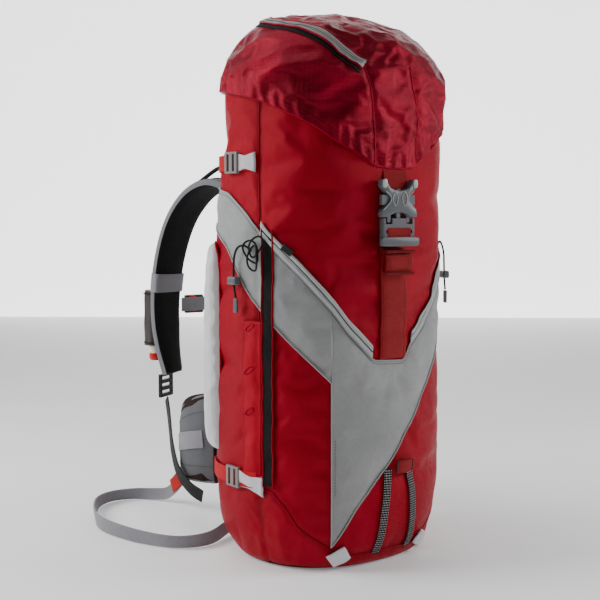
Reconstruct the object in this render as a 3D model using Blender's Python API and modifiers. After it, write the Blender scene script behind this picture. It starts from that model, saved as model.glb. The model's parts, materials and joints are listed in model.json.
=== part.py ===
"""Avalanche airbag backpack, modelled as an assembly of named sub-parts.

Frame: metres, +Z up, -Y is the outer face of the pack, +Y is the side that the
wearer's back rests on, -X is the wearer's left. The origin is at the middle of
the base, on the ground.
"""

import math

import bmesh
import bpy
from mathutils import Matrix, Vector

# ---------------------------------------------------------------- dimensions
HALF_WIDTH = 0.143          # half the width of the bag
FRONT_DEPTH = 0.124         # from the middle of the bag to its outer face
BACK_DEPTH = 0.085          # from the middle of the bag to its back panel
BASE_ROUND = 0.100          # height over which the base rounds in
BASE_NARROWING = 0.20       # share of the width lost at the very bottom
RIM_Z = 0.600               # rim of the main compartment
SEAM_Z = 0.0885             # seam between the base boot and the bag
FABRIC = 0.0025             # wall of every fabric shell
GAP = 0.0005                # air between touching parts
TURN_STEP = 7.5             # degrees between two columns of the bag

LID_RISE = 0.090            # height of the lid's dome over the rim
LID_SHIFT = 0.070           # how far the dome's top lies behind the middle
LID_FILL = 0.022            # thickness of the filled lid pocket
LID_INSIDE, LID_OUTSIDE = 0.0032, 0.0060    # the lid's two faces, from the skin
LID_HINGE = Vector((0.0, 0.0905, 0.588))

WEB = 0.0018                # thickness of webbing
FRONT_WEB = 0.040           # width of the front closure strap
SIDE_WEB = 0.020            # width of compression and sternum webbing
WEB_FACE = -0.1262          # inner face of the front closure strap, in Y

BUCKLE_LOW, BUCKLE_SPLIT, BUCKLE_TOP = 0.394, 0.428, 0.474
BUCKLE_WIDTH, BUCKLE_DEPTH = 0.056, 0.012
BUCKLE_Y = -0.1345
PRONG_PIVOT = Vector((0.0150, BUCKLE_Y, 0.4245))

STRAP_WIDTH, STRAP_THICK = 0.058, 0.015
STRAP_TURN = 28.0           # degrees that the hanging strap turns outwards
STERNUM_Z = 0.300
HANDLE_RADIUS = 0.0080
HANDLE_TOP, HANDLE_LOW = 0.268, 0.226

CARTRIDGE = Vector((0.075, 0.036, 0.0))
CARTRIDGE_RADIUS, CARTRIDGE_LOW, CARTRIDGE_TOP = 0.0225, 0.120, 0.310

CORD_RADIUS = 0.00125
LEG_RADIUS = 0.0090

SIDES = (("left", -1.0), ("right", 1.0))


def shade(red, green, blue):
    """Turn display values from 0 to 255 into a linear colour."""
    return tuple((value / 255.0) ** 2.2 for value in (red, green, blue)) + (1.0,)


FINISHES = {
    "red_fabric": (shade(150, 22, 36), 0.62, 0.0),
    "lid_ripstop": (shade(120, 16, 32), 0.38, 0.0),
    "grey_fabric": (shade(146, 146, 147), 0.70, 0.0),
    "cover_fabric": (shade(178, 180, 182), 0.62, 0.0),
    "gusset_red": (shade(178, 30, 44), 0.60, 0.0),
    "red_webbing": (shade(158, 24, 32), 0.72, 0.0),
    "white_webbing": (shade(222, 220, 226), 0.74, 0.0),
    "grey_webbing": (shade(96, 95, 98), 0.66, 0.0),
    "dotted_webbing": (shade(34, 32, 34), 0.74, 0.0),
    "grey_plastic": (shade(112, 114, 117), 0.42, 0.0),
    "black_plastic": (shade(24, 24, 25), 0.45, 0.0),
    "black_cord": (shade(26, 26, 28), 0.68, 0.0),
    "cream_plastic": (shade(226, 220, 196), 0.40, 0.0),
    "strap_foam": (shade(40, 38, 39), 0.85, 0.0),
    "back_mesh": (shade(46, 44, 45), 0.88, 0.0),
    "hip_fabric": (shade(104, 106, 108), 0.70, 0.0),
    "frame_plastic": (shade(60, 62, 66), 0.50, 0.0),
    "airbag_nylon": (shade(224, 96, 32), 0.55, 0.0),
    "steel": (shade(176, 180, 184), 0.30, 1.0),
    "aluminium": (shade(168, 170, 174), 0.34, 1.0),
}


# ------------------------------------------------------------------- scene
def clear_scene():
    """Remove whatever the scene holds and make the two collections."""
    for item in list(bpy.data.objects):
        bpy.data.objects.remove(item, do_unlink=True)
    made = []
    for name in ("avalanche_airbag_backpack", "cutters"):
        group = bpy.data.collections.new(name)
        bpy.context.scene.collection.children.link(group)
        made.append(group)
    return made


PARTS, CUTTERS = clear_scene()


def finish_material(name):
    """Return the Principled material of one finish, made on first use."""
    material = bpy.data.materials.get(name)
    if material is None:
        colour, roughness, metallic = FINISHES[name]
        material = bpy.data.materials.new(name)
        material.use_nodes = True
        shader = material.node_tree.nodes["Principled BSDF"]
        shader.inputs["Base Color"].default_value = colour
        shader.inputs["Roughness"].default_value = roughness
        shader.inputs["Metallic"].default_value = metallic
        material.diffuse_color = colour
    return material


def add_object(name, data, finish, smooth=True):
    """Link a new object, as a part with a finish or as a hidden cutter."""
    item = bpy.data.objects.new(name, data)
    if finish is None:
        item.hide_render = True
        item.display_type = "WIRE"
        CUTTERS.objects.link(item)
        return item
    data.materials.append(finish_material(finish))
    if smooth and hasattr(data, "polygons"):
        data.polygons.foreach_set("use_smooth", [True] * len(data.polygons))
    PARTS.objects.link(item)
    return item


def mesh_object(name, bm, finish, smooth=True):
    """Turn a bmesh into a closed object with outward faces."""
    bmesh.ops.recalc_face_normals(bm, faces=bm.faces)
    mesh = bpy.data.meshes.new(name)
    bm.to_mesh(mesh)
    bm.free()
    return add_object(name, mesh, finish, smooth)


def pivot(item, point, parent=None):
    """Move an object's origin to a point, below a parent if there is one."""
    item.data.transform(Matrix.Translation(-point))
    item.location = point
    if parent is not None:
        item.parent = parent
        item.location = point - parent.location
    return item


def joint_empty(name, point):
    """Place an empty on a joint's axis for the pieces that move together."""
    empty = bpy.data.objects.new(name, None)
    empty.location = point
    empty.empty_display_size = 0.03
    PARTS.objects.link(empty)
    return empty


# ------------------------------------------------------------------ shapes
def skin(theta, z, lift=0.0):
    """Give the point of the bag's outer skin at a bearing and a height.

    The bearing is in degrees, 0 at the middle of the outer face and positive
    towards +X. The front half is a full oval, the back half a soft rectangle.
    """
    angle = math.radians(theta)
    side, ahead = math.sin(angle), math.cos(angle)
    rise = min(max(z / BASE_ROUND, 0.0), 1.0)
    fullness = 1.0 - BASE_NARROWING * (1.0 - math.sqrt(1.0 - (1.0 - rise) ** 2))
    if ahead >= 0.0:
        depth, power = FRONT_DEPTH * fullness, 2.3
    else:
        depth, power = BACK_DEPTH * (0.9 + 0.1 * fullness), 4.0
    across = abs(side / (HALF_WIDTH * fullness)) ** power
    radius = (across + abs(ahead / depth) ** power) ** (-1.0 / power) + lift
    return Vector((radius * side, -radius * ahead, z))


def skin_frame(theta, z, lift=0.0):
    """Give a frame standing on the skin: X along it, -Y outwards, Z up."""
    along = (skin(theta + 1.0, z) - skin(theta - 1.0, z)).normalized()
    up = Vector((0.0, 0.0, 1.0))
    inward = up.cross(along)
    turn = Matrix((along, inward, up)).transposed().to_4x4()
    return Matrix.Translation(skin(theta, z) - inward * lift) @ turn


def ring(z, lift=0.0):
    """Give one closed ring of the skin at a height."""
    count = int(360.0 / TURN_STEP)
    return [skin(-180.0 + TURN_STEP * i, z, lift) for i in range(count)]


def loft(name, rings, finish):
    """Join rings of equal count into one closed solid with flat ends."""
    bm = bmesh.new()
    rows = [[bm.verts.new(point) for point in points] for points in rings]
    for low, high in zip(rows, rows[1:]):
        for i in range(len(low)):
            j = (i + 1) % len(low)
            bm.faces.new((low[i], low[j], high[j], high[i]))
    bm.faces.new(rows[0][::-1])
    bm.faces.new(rows[-1])
    return mesh_object(name, bm, finish)


def between(points, x):
    """Read an outline given as (x, value) pairs, straight between them."""
    if x <= points[0][0]:
        return points[0][1]
    for (x0, v0), (x1, v1) in zip(points, points[1:]):
        if x <= x1:
            return v0 + (v1 - v0) * (x - x0) / (x1 - x0)
    return points[-1][1]


def patch(name, bearings, rows, low, high, lifts, finish, crowd=1.0):
    """Make a sheet of even thickness that follows the skin.

    low and high give the sheet's lower and upper edge at a bearing, and lifts
    is the distance of its inner and outer face from the skin. A crowd over 1
    draws the rows towards the lower edge, where the skin curves in.
    """
    bm = bmesh.new()
    faces = []
    for lift in lifts:
        grid = []
        for theta in bearings:
            bottom, top = low(theta), high(theta)
            heights = [bottom + (top - bottom) * (i / rows) ** crowd for i in range(rows + 1)]
            grid.append([bm.verts.new(skin(theta, z, lift)) for z in heights])
        faces.append(grid)
    inner, outer = faces
    last = len(bearings) - 1
    for i in range(last):
        for j in range(rows):
            for grid in (inner, outer):
                bm.faces.new((grid[i][j], grid[i + 1][j], grid[i + 1][j + 1], grid[i][j + 1]))
        for j in (0, rows):
            bm.faces.new((inner[i][j], inner[i + 1][j], outer[i + 1][j], outer[i][j]))
    for j in range(rows):
        for i in (0, last):
            bm.faces.new((inner[i][j], inner[i][j + 1], outer[i][j + 1], outer[i][j]))
    return mesh_object(name, bm, finish)


def strip(name, side, first, last, low, high, lifts, finish, step=4.0, rows=2):
    """Make a straight-edged patch on one side, from one bearing to another."""
    count = max(2, int(abs(last - first) / step) + 1)
    bearings = sorted(side * (first + (last - first) * i / count) for i in range(count + 1))
    return patch(name, bearings, rows, lambda t: low, lambda t: high, lifts, finish)


def block(name, size, centre, finish, bevel=0.0, frame=None):
    """Make a box with rounded edges, in the world or in a given frame."""
    bm = bmesh.new()
    bmesh.ops.create_cube(bm, size=1.0)
    bmesh.ops.scale(bm, vec=Vector(size), verts=bm.verts)
    item = mesh_object(name, bm, finish, smooth=False)
    place = Matrix.Translation(Vector(centre))
    item.matrix_world = frame @ place if frame is not None else place
    if bevel > 0.0:
        rounding = item.modifiers.new("edge", "BEVEL")
        rounding.width = bevel
        rounding.segments = 2
    return item


def cylinder(name, radius, low, high, centre, finish, sides=24):
    """Make an upright cylinder between two heights."""
    bm = bmesh.new()
    bmesh.ops.create_cone(bm, cap_ends=True, segments=sides, radius1=radius,
                          radius2=radius, depth=high - low)
    item = mesh_object(name, bm, finish, smooth=False)
    item.location = Vector((centre.x, centre.y, 0.5 * (low + high)))
    return item


def cut(item, cutter, operation="DIFFERENCE"):
    """Add an exact Boolean to an object."""
    boolean = item.modifiers.new("cut_" + cutter.name, "BOOLEAN")
    boolean.operation = operation
    boolean.solver = "EXACT"
    boolean.object = cutter
    return item


def smooth_route(points, per_span=4):
    """Read a route of hand-picked points from one smooth curve."""
    route = [Vector(point) for point in points]
    route = [2 * route[0] - route[1]] + route + [2 * route[-1] - route[-2]]
    out = []
    for p0, p1, p2, p3 in zip(route, route[1:], route[2:], route[3:]):
        for i in range(per_span):
            t = i / per_span
            out.append(0.5 * (2 * p1 + (p2 - p0) * t + (2 * p0 - 5 * p1 + 4 * p2 - p3) * t * t
                              + (3 * p1 - p0 - 3 * p2 + p3) * t ** 3))
    out.append(route[-2])
    return out


def tube(name, route, radius, finish):
    """Make a cord as a round tube with closed ends along a route."""
    curve = bpy.data.curves.new(name, "CURVE")
    curve.dimensions = "3D"
    curve.bevel_depth = radius
    curve.bevel_resolution = 2
    curve.use_fill_caps = True
    spline = curve.splines.new("POLY")
    spline.points.add(len(route) - 1)
    for point, place in zip(spline.points, route):
        point.co = (*place, 1.0)
    return add_object(name, curve, finish)


def section(width, thick, corner):
    """Give a flat section with its corners cut, across and through."""
    w, t, c = 0.5 * width, 0.5 * thick, corner
    return ((w - c, -t), (w, -t + c), (w, t - c), (w - c, t),
            (c - w, t), (-w, t - c), (-w, c - t), (c - w, -t))


def sweep(name, route, acrosses, widths, thick, finish, corner):
    """Carry a flat section along a route, held by its crosswise direction."""
    rings = []
    for i, place in enumerate(route):
        ahead = (route[min(i + 1, len(route) - 1)] - route[max(i - 1, 0)]).normalized()
        through = ahead.cross(acrosses[i]).normalized()
        across = through.cross(ahead)
        rings.append([place + across * u + through * v
                      for u, v in section(widths[i], thick, corner)])
    return loft(name, rings, finish)


# ----------------------------------------------------------- bag and base
BOOT_ROWS = (0.0108, 0.018, 0.030, 0.045, 0.062, 0.078)


def build_base_boot():
    """Double-fabric boot, open on top, that the bag stands in."""
    outer = [ring(z) for z in (0.0, 0.004, *BOOT_ROWS, SEAM_Z)]
    inner = [ring(z, -FABRIC) for z in (SEAM_Z, *BOOT_ROWS[::-1])]
    inner[-1] = ring(0.0100, -FABRIC)
    loft("base_boot", outer + inner, "red_fabric")


def build_main_bag():
    """Main compartment: an open-top shell whose foot sits in the boot."""
    foot = -FABRIC - GAP
    outer = [ring(z, foot) for z in (*BOOT_ROWS, SEAM_Z)]
    outer += [ring(z) for z in (SEAM_Z + 0.0006, 0.15, 0.25, 0.35, 0.45, 0.53, RIM_Z - 0.002)]
    inner = [ring(z, -FABRIC) for z in (RIM_Z - 0.002, 0.53, 0.45, 0.35, 0.25, 0.15)]
    inner += [ring(z, foot - FABRIC) for z in (SEAM_Z + 0.004, *BOOT_ROWS[:0:-1])]
    inner.append(ring(0.0135, foot - FABRIC))
    loft("main_bag", outer + inner, "red_fabric")


def build_collar():
    """Snow collar that stands out of the rim and draws in a little."""
    def tapered(z, share, lift):
        return [Vector((p.x * share, p.y * share, z)) for p in ring(RIM_Z, lift)]

    base, wall = -FABRIC - 0.0012, 0.0015
    outer = [tapered(0.560, 1.0, base), tapered(0.597, 1.0, base),
             tapered(0.612, 0.93, base), tapered(0.626, 0.84, base)]
    inner = [tapered(0.626, 0.84, base - wall), tapered(0.612, 0.93, base - wall),
             tapered(0.597, 1.0, base - wall), tapered(0.560, 1.0, base - wall)]
    rings = outer + inner
    bm = bmesh.new()
    rows = [[bm.verts.new(point) for point in points] for points in rings]
    for low, high in zip(rows, rows[1:] + rows[:1]):
        for i in range(len(low)):
            j = (i + 1) % len(low)
            bm.faces.new((low[i], low[j], high[j], high[i]))
    mesh_object("spindrift_collar", bm, "lid_ripstop")


# Edges of the grey wing panel, as (bearing, height), from side to side.
WING_TOP = ((-118, 0.468), (-95, 0.458), (-80, 0.432), (-70, 0.405), (-52, 0.362),
            (-36, 0.318), (-28, 0.292), (-13, 0.257), (10, 0.254), (13, 0.272),
            (28, 0.298), (36, 0.318), (52, 0.362), (70, 0.405), (80, 0.432),
            (95, 0.458), (118, 0.468))
WING_LOW = ((-118, 0.425), (-95, 0.390), (-79, 0.336), (-66, 0.304), (-52, 0.270),
            (-38, 0.236), (-36.3, 0.232), (-36.2, 0.150), (-36.1, 0.100), (-36.0, 0.072),
            (-35.9, 0.050), (-35.8, 0.030), (-22, 0.080), (-10, 0.110), (0, 0.132), (9, 0.158), (19, 0.184), (28, 0.214), (40, 0.245), (54, 0.276),
            (70, 0.311), (80, 0.337), (95, 0.390), (118, 0.425))


def build_wing_panel():
    """Grey panel that crosses the front in a V and runs down to the base."""
    bearings = {float(theta) for theta, _ in WING_TOP + WING_LOW}
    bearings |= {float(theta) for theta in range(-116, 118, 4)
                 if all(abs(theta - known) > 1.5 for known in bearings)}
    patch("front_wing_panel", sorted(bearings), 9, lambda t: between(WING_LOW, t),
          lambda t: between(WING_TOP, t), (0.0011, 0.0026), "grey_fabric", crowd=1.5)


def build_gussets():
    """Bright strips with daisy-chain loops along the side seams."""
    for name, side in SIDES:
        strip("side_gusset_" + name, side, 71.0, 82.5, 0.126, 0.300,
              (0.0011, 0.0028), "gusset_red", rows=6)


# --------------------------------------------------------- side straps, cords
COMPRESSION_Z = {"upper": 0.494, "lower": 0.110}


def build_compression_straps():
    """Side compression straps, each with its ladder hook."""
    for side_name, side in SIDES:
        for level, z in COMPRESSION_Z.items():
            label = level + "_" + side_name
            strip("compression_strap_" + label, side, 75.0, 124.0, z - SIDE_WEB / 2,
                  z + SIDE_WEB / 2, (0.0012, 0.0012 + WEB), "red_webbing", rows=2)
            frame = skin_frame(side * 89.0, z, 0.0066)
            hook = block("compression_hook_" + label, (0.027, 0.0044, 0.026),
                         (0.0, 0.0, 0.0), "grey_plastic", 0.0012, frame)
            for shift in (-0.0058, 0.0058):
                slot = block("slot_%s_%d" % (label, shift > 0), (0.0050, 0.02, 0.0205),
                             (shift, 0.0, 0.0), None, 0.0, frame)
                cut(hook, slot)


# Routes of the elastic side cords, as (bearing, height, distance from the skin).
CORD_ROUTES = {
    "left": ((75.5, 0.388, 0.0060), (78.5, 0.3945, 0.0085), (82.5, 0.393, 0.0100),
             (85.3, 0.383, 0.0100), (86.0, 0.368, 0.0100), (86.0, 0.352, 0.0100),
             (85.4, 0.340, 0.0100), (84.4, 0.3315, 0.0100)),
    "right": ((66.0, 0.392, 0.0060), (67.5, 0.3965, 0.0110), (69.0, 0.390, 0.0160),
              (69.6, 0.380, 0.0190), (70.0, 0.368, 0.0200), (70.0, 0.352, 0.0205),
              (70.2, 0.340, 0.0215), (70.4, 0.3315, 0.0225)),
}


def build_side_cords():
    """Elastic cord, barrel lock and pull tab on each side."""
    for name, side in SIDES:
        stops = CORD_ROUTES[name]
        route = [skin(side * theta, z, lift) for theta, z, lift in stops]
        tube("side_cord_" + name, smooth_route(route, 3), CORD_RADIUS, "black_cord")
        theta, z, lift = stops[5]
        frame = skin_frame(side * theta, z, lift)
        lock = block("cord_lock_" + name, (0.0170, 0.0090, 0.0100), (0.0, 0.0, 0.0),
                     "grey_plastic", 0.0022, frame)
        bore = cylinder("bore_" + name, 0.0019, z - 0.01, z + 0.01,
                        skin(side * theta, z, lift), None, 12)
        cut(lock, bore)
        theta, z, lift = stops[-1]
        frame = skin_frame(side * theta, z - 0.0095, lift)
        block("cord_toggle_" + name, (0.0070, 0.0035, 0.0170), (0.0, 0.0, 0.0),
              "grey_plastic", 0.0010, frame)


# ------------------------------------------------------------- front details
def build_tool_attachments():
    """Two dotted bands, a tool loop and two loops at the base seam."""
    bands = {"left": ((0.016, -7.2), (0.122, -2.2)), "right": ((0.016, 19.6), (0.114, 14.4))}
    for name, ((low, foot), (high, head)) in bands.items():
        bm = bmesh.new()
        rings = []
        for i in range(9):
            z = low + (high - low) * i / 8
            middle = foot + (head - foot) * i / 8
            rings.append([skin(middle + shift, z, lift) for shift, lift in
                          ((-2.3, 0.0011), (2.3, 0.0011), (2.3, 0.0031), (-2.3, 0.0031))])
        bm.free()
        loft("tool_band_" + name, rings, "dotted_webbing")
    strip("tool_loop", 1.0, 3.0, 14.5, 0.1165, 0.1300, (0.0032, 0.0072), "red_webbing", rows=2)
    for name, side in SIDES:
        strip("base_loop_" + name, side, 25.0, 38.0, 0.006, 0.028, (0.0030, 0.0058),
              "white_webbing", rows=3)


def build_front_strap():
    """Closure strap down the front, with its spare end rolled up."""
    strap = block("front_strap", (FRONT_WEB, WEB, 0.1360), (0.0, WEB_FACE - WEB / 2, 0.3260),
                  "red_webbing")
    roll = block("strap_roll", (FRONT_WEB + 0.003, 0.0120, 0.0280), (0.001, -0.1330, 0.3720), None,
                 0.0040)
    cut(strap, roll, "UNION")


def buckle_window(name, side):
    """Cutter for the opening that a prong snaps into."""
    return block(name, (0.012, 0.0066, 0.0170), (side * 0.0270, BUCKLE_Y, 0.4490), None)


def build_buckle():
    """Side-release buckle: male half with two prongs, female half above."""
    male = block("buckle_male", (0.0500, 0.0080, BUCKLE_SPLIT - BUCKLE_LOW - 0.0006),
                 (0.0, BUCKLE_Y, 0.5 * (BUCKLE_LOW + BUCKLE_SPLIT) - 0.0003), "grey_plastic", 0.0015)
    guide = block("buckle_guide", (0.0060, 0.0040, 0.0420), (0.0, BUCKLE_Y, 0.4410), None)
    cut(male, guide, "UNION")
    for i, z in enumerate((0.3995, 0.4115)):
        cut(male, block("male_slot_%d" % i, (0.0415, 0.02, 0.0048), (0.0, BUCKLE_Y, z), None))
    for name, side in SIDES:
        x, z = side * PRONG_PIVOT.x, PRONG_PIVOT.z
        socket = block("prong_socket_" + name, (0.0105, 0.0080, 0.0120),
                       (x + side * 0.001, BUCKLE_Y, z + 0.0020), None)
        socket.scale = (1.0, 1.2, 1.0)
        cut(male, socket)
        arm = block("buckle_prong_" + name, (0.0050, 0.0046, 0.0380),
                    (x, BUCKLE_Y, z + 0.0170), "grey_plastic")
        lobe = block("prong_lobe_" + name, (0.0096, 0.0046, 0.0120),
                     (x + side * 0.0062, BUCKLE_Y, 0.4490), None)
        cut(arm, lobe, "UNION")
    female = block("buckle_female", (BUCKLE_WIDTH, BUCKLE_DEPTH, BUCKLE_TOP - BUCKLE_SPLIT),
                   (0.0, BUCKLE_Y, 0.5 * (BUCKLE_SPLIT + BUCKLE_TOP)), "grey_plastic", 0.0022)
    cut(female, block("female_socket", (0.0450, 0.0066, 0.0400), (0.0, BUCKLE_Y, 0.4445), None))
    for name, side in SIDES:
        cut(female, buckle_window("female_window_" + name, side))
    cut(female, block("female_slot", (0.0415, 0.02, 0.0036), (0.0, BUCKLE_Y, 0.4690), None))


# ----------------------------------------------------------------------- lid
# Lower edge of the lid, as (bearing, height), the same on both sides.
HEM = ((0, 0.487), (14, 0.489), (17, 0.495), (22, 0.503), (33, 0.516), (46, 0.538),
       (56, 0.550), (68, 0.564), (76, 0.570), (98, 0.582), (120, 0.584), (180, 0.584))
DOME_SHARES = (0.985, 0.95, 0.89, 0.80, 0.68, 0.52, 0.34, 0.15)


def dome(theta, share, lift=0.0):
    """Give a point of the lid's dome; share runs from 1 at the rim to 0 on top."""
    rim = skin(theta, RIM_Z, lift)
    height = RIM_Z + LID_RISE * math.sqrt(1.0 - share * share)
    return Vector((rim.x * share, rim.y * share + LID_SHIFT * (1.0 - share), height))


def dome_frame(theta, share, lift):
    """Give a frame standing on the lid: X along it, Z outwards."""
    place = dome(theta, share, LID_OUTSIDE)
    along = (dome(theta + 2.0, share, LID_OUTSIDE) - dome(theta - 2.0, share, LID_OUTSIDE)).normalized()
    rising = dome(theta, share - 0.02, LID_OUTSIDE) - dome(theta, share + 0.02, LID_OUTSIDE)
    out = along.cross(rising).normalized()
    turn = Matrix((along, out.cross(along), out)).transposed().to_4x4()
    return Matrix.Translation(place + out * lift) @ turn


def lid_ring(share, lift, rise):
    """Give one ring of the dome, pushed out by lift and lowered inside."""
    points = []
    for place in ring(RIM_Z, lift):
        height = RIM_Z + rise * math.sqrt(1.0 - share * share)
        points.append(Vector((place.x * share, place.y * share + LID_SHIFT * (1.0 - share), height)))
    return points


def lid_skirt(part, lift):
    """Give one ring of the skirt, part of the way from the hem to the rim."""
    points = []
    for i, place in enumerate(ring(RIM_Z, lift)):
        hem = between(HEM, abs(-180.0 + TURN_STEP * i))
        points.append(Vector((place.x, place.y, hem + (RIM_Z - hem) * part)))
    return points


def build_lid():
    """Domed lid with its filled pocket, front tongue, strap and zip slider."""
    hinge = joint_empty("lid_hinge", LID_HINGE)
    rings = [lid_ring(share, LID_INSIDE, LID_RISE - LID_FILL) for share in DOME_SHARES[::-1]]
    rings += [lid_skirt(part, LID_INSIDE) for part in (1.0, 0.66, 0.33, 0.0)]
    rings += [lid_skirt(part, LID_OUTSIDE) for part in (0.0, 0.33, 0.66, 1.0)]
    rings += [lid_ring(share, LID_OUTSIDE, LID_RISE) for share in DOME_SHARES]
    pivot(loft("lid_shell", rings, "lid_ripstop"), LID_HINGE, hinge)
    block("lid_strap", (FRONT_WEB, WEB, 0.0255), (0.0, -0.1253, 0.48725), "red_webbing")
    block("lid_zip_slider", (0.0160, 0.0080, 0.0030), (0.0, 0.0, 0.0), "grey_plastic", 0.0008,
          dome_frame(-62.0, 0.80, 0.0026))


def build_front_zip_slider():
    """Slider of the slanting front zip."""
    frame = skin_frame(-57.0, 0.3900, 0.0062)
    lean = Matrix.Rotation(math.radians(38.0), 4, "Y")
    block("front_zip_slider", (0.0150, 0.0030, 0.0080), (0.0, 0.0, 0.0), "grey_plastic", 0.0008,
          frame @ lean)


# ----------------------------------------------------------------- back unit
def build_frame_sheet():
    """Stiff sheet that carries the load, inside the back panel."""
    block("frame_sheet", (0.196, 0.0025, 0.500), (0.0, 0.0725, 0.290), "frame_plastic", 0.0008)


def build_back_pad():
    """Padded back panel between the harness and the bag."""
    block("back_pad", (0.196, 0.0130, 0.430), (0.0, 0.0925, 0.277), "back_mesh", 0.0045)


def build_haul_loop():
    """Webbing loop at the top of the back, to hang the pack by."""
    route = smooth_route(((-0.050, 0.0872, 0.516), (-0.040, 0.0950, 0.516), (-0.020, 0.1040, 0.516),
                          (0.000, 0.1070, 0.516), (0.020, 0.1040, 0.516), (0.040, 0.0950, 0.516),
                          (0.050, 0.0872, 0.516)), 3)
    up = Vector((0.0, 0.0, 1.0))
    sweep("haul_loop", route, [up] * len(route), [SIDE_WEB] * len(route), WEB, "grey_webbing", 0.0004)


def build_airbags():
    """Folded airbags in their tear-open covers at the back corners."""
    for name, side in SIDES:
        strip("airbag_" + name, side, 107.5, 121.0, 0.150, 0.384, (0.0030, 0.0120),
              "airbag_nylon", step=3.0, rows=4)
        cover = strip("airbag_cover_" + name, side, 103.5, 125.0, 0.134, 0.398,
                      (0.0013, 0.0165), "cover_fabric", step=3.0, rows=6)
        hollow = strip("airbag_space_" + name, side, 105.8, 122.7, 0.146, 0.388,
                       (-0.0030, 0.0138), None, step=3.0, rows=4)
        cut(cover, hollow)


def build_inflation():
    """Gas cartridge and the activation unit that opens it."""
    profile = [(0.0, CARTRIDGE_LOW), (0.012, CARTRIDGE_LOW), (0.0195, CARTRIDGE_LOW + 0.004),
               (CARTRIDGE_RADIUS, CARTRIDGE_LOW + 0.012), (CARTRIDGE_RADIUS, CARTRIDGE_TOP - 0.030),
               (0.0180, CARTRIDGE_TOP - 0.014), (0.0090, CARTRIDGE_TOP - 0.006),
               (0.0090, CARTRIDGE_TOP)]
    rings = []
    for radius, z in profile[1:]:
        rings.append([Vector((radius * math.cos(math.tau * i / 28), radius * math.sin(math.tau * i / 28), z))
                      for i in range(28)])
    bottle = loft("gas_cartridge", rings, "steel")
    bottle.location = CARTRIDGE
    unit = block("activation_unit", (0.046, 0.034, 0.040), (CARTRIDGE.x, CARTRIDGE.y, 0.3310),
                 "aluminium", 0.0030)
    cut(unit, cylinder("unit_outlet", 0.0090, 0.340, 0.372, CARTRIDGE, None), "UNION")


# ------------------------------------------------------------------- harness
# Middle line of a shoulder strap, for the right side.
STRAP_ROUTE = ((0.055, 0.1085, 0.455), (0.060, 0.125, 0.468), (0.068, 0.158, 0.473),
               (0.078, 0.196, 0.457), (0.087, 0.228, 0.420), (0.093, 0.249, 0.365),
               (0.096, 0.256, 0.305), (0.094, 0.254, 0.248), (0.090, 0.247, 0.204))

# Lower webbing, outside the hip fin, from the ladder lock to the pack's foot.
LOWER_ROUTE = ((0.0955, 0.2575, 0.1655), (0.0980, 0.2480, 0.1480), (0.1070, 0.2280, 0.1300),
               (0.1210, 0.1980, 0.1080), (0.1310, 0.1650, 0.0820), (0.1290, 0.1380, 0.0640),
               (0.1210, 0.1180, 0.0540))


def mirrored(points, side):
    """Place right-hand points on the given side."""
    return [Vector((side * x, y, z)) for x, y, z in points]


def strap_across(side, turn):
    """Crosswise direction of a strap that is turned outwards."""
    angle = math.radians(turn)
    return Vector((-side * math.cos(angle), math.sin(angle), 0.0))


def strap_outwards(side, turn=STRAP_TURN):
    """Direction away from the pack, square to a hanging shoulder strap."""
    angle = math.radians(turn)
    return Vector((side * math.sin(angle), math.cos(angle), 0.0))


def build_shoulder_straps():
    """Padded straps with a ladder lock and lower webbing on each."""
    for name, side in SIDES:
        route = smooth_route(mirrored(STRAP_ROUTE, side), 3)
        count = len(route)
        turns = [STRAP_TURN * min(1.0, i / (0.55 * count)) for i in range(count)]
        widths = [STRAP_WIDTH * min(1.0, 0.62 + 0.5 * (count - 1 - i) / 6) for i in range(count)]
        sweep("shoulder_strap_" + name, route, [strap_across(side, turn) for turn in turns],
              widths, STRAP_THICK, "strap_foam", 0.0045)
        across, out = strap_across(side, STRAP_TURN), strap_outwards(side)
        up = Vector((0.0, 0.0, 1.0))
        tip = Vector((side * 0.090, 0.247, 0.186)) + out * 0.0130
        turn = Matrix((-side * across, out, up)).transposed().to_4x4()
        frame = Matrix.Translation(tip) @ turn
        lock = block("ladder_lock_" + name, (0.033, 0.0050, 0.034), (0.0, 0.0, 0.0),
                     "black_plastic", 0.0012, frame)
        for i, z in enumerate((-0.009, 0.001, 0.011)):
            cut(lock, block("lock_slot_%s_%d" % (name, i), (0.0255, 0.02, 0.0042),
                            (0.0, 0.0, z), None, 0.0, frame))
        lower = smooth_route(mirrored(LOWER_ROUTE, side), 3)
        last = len(lower) - 1
        acrosses = []
        for i in range(last + 1):
            ahead = lower[min(i + 1, last)] - lower[max(i - 1, 0)]
            face = strap_outwards(side, STRAP_TURN + (78.0 - STRAP_TURN) * i / last)
            acrosses.append(face.cross(ahead).normalized())
        sweep("lower_webbing_" + name, lower, acrosses, [0.022] * (last + 1), WEB,
              "grey_webbing", 0.0004)


def build_sternum_strap():
    """Chest strap with its buckle, between the two shoulder straps."""
    rail = joint_empty("sternum_rail", Vector((0.0, 0.2700, STERNUM_Z)))
    web = block("sternum_strap", (0.1230, WEB, SIDE_WEB), (0.0, 0.2700, STERNUM_Z), "grey_webbing")
    buckle = block("sternum_buckle", (0.0300, 0.0080, 0.0270), (-0.0380, 0.2754, STERNUM_Z),
                   "red_webbing", 0.0018)
    for item in (web, buckle):
        item.parent = rail
        item.location = item.location - rail.location


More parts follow.
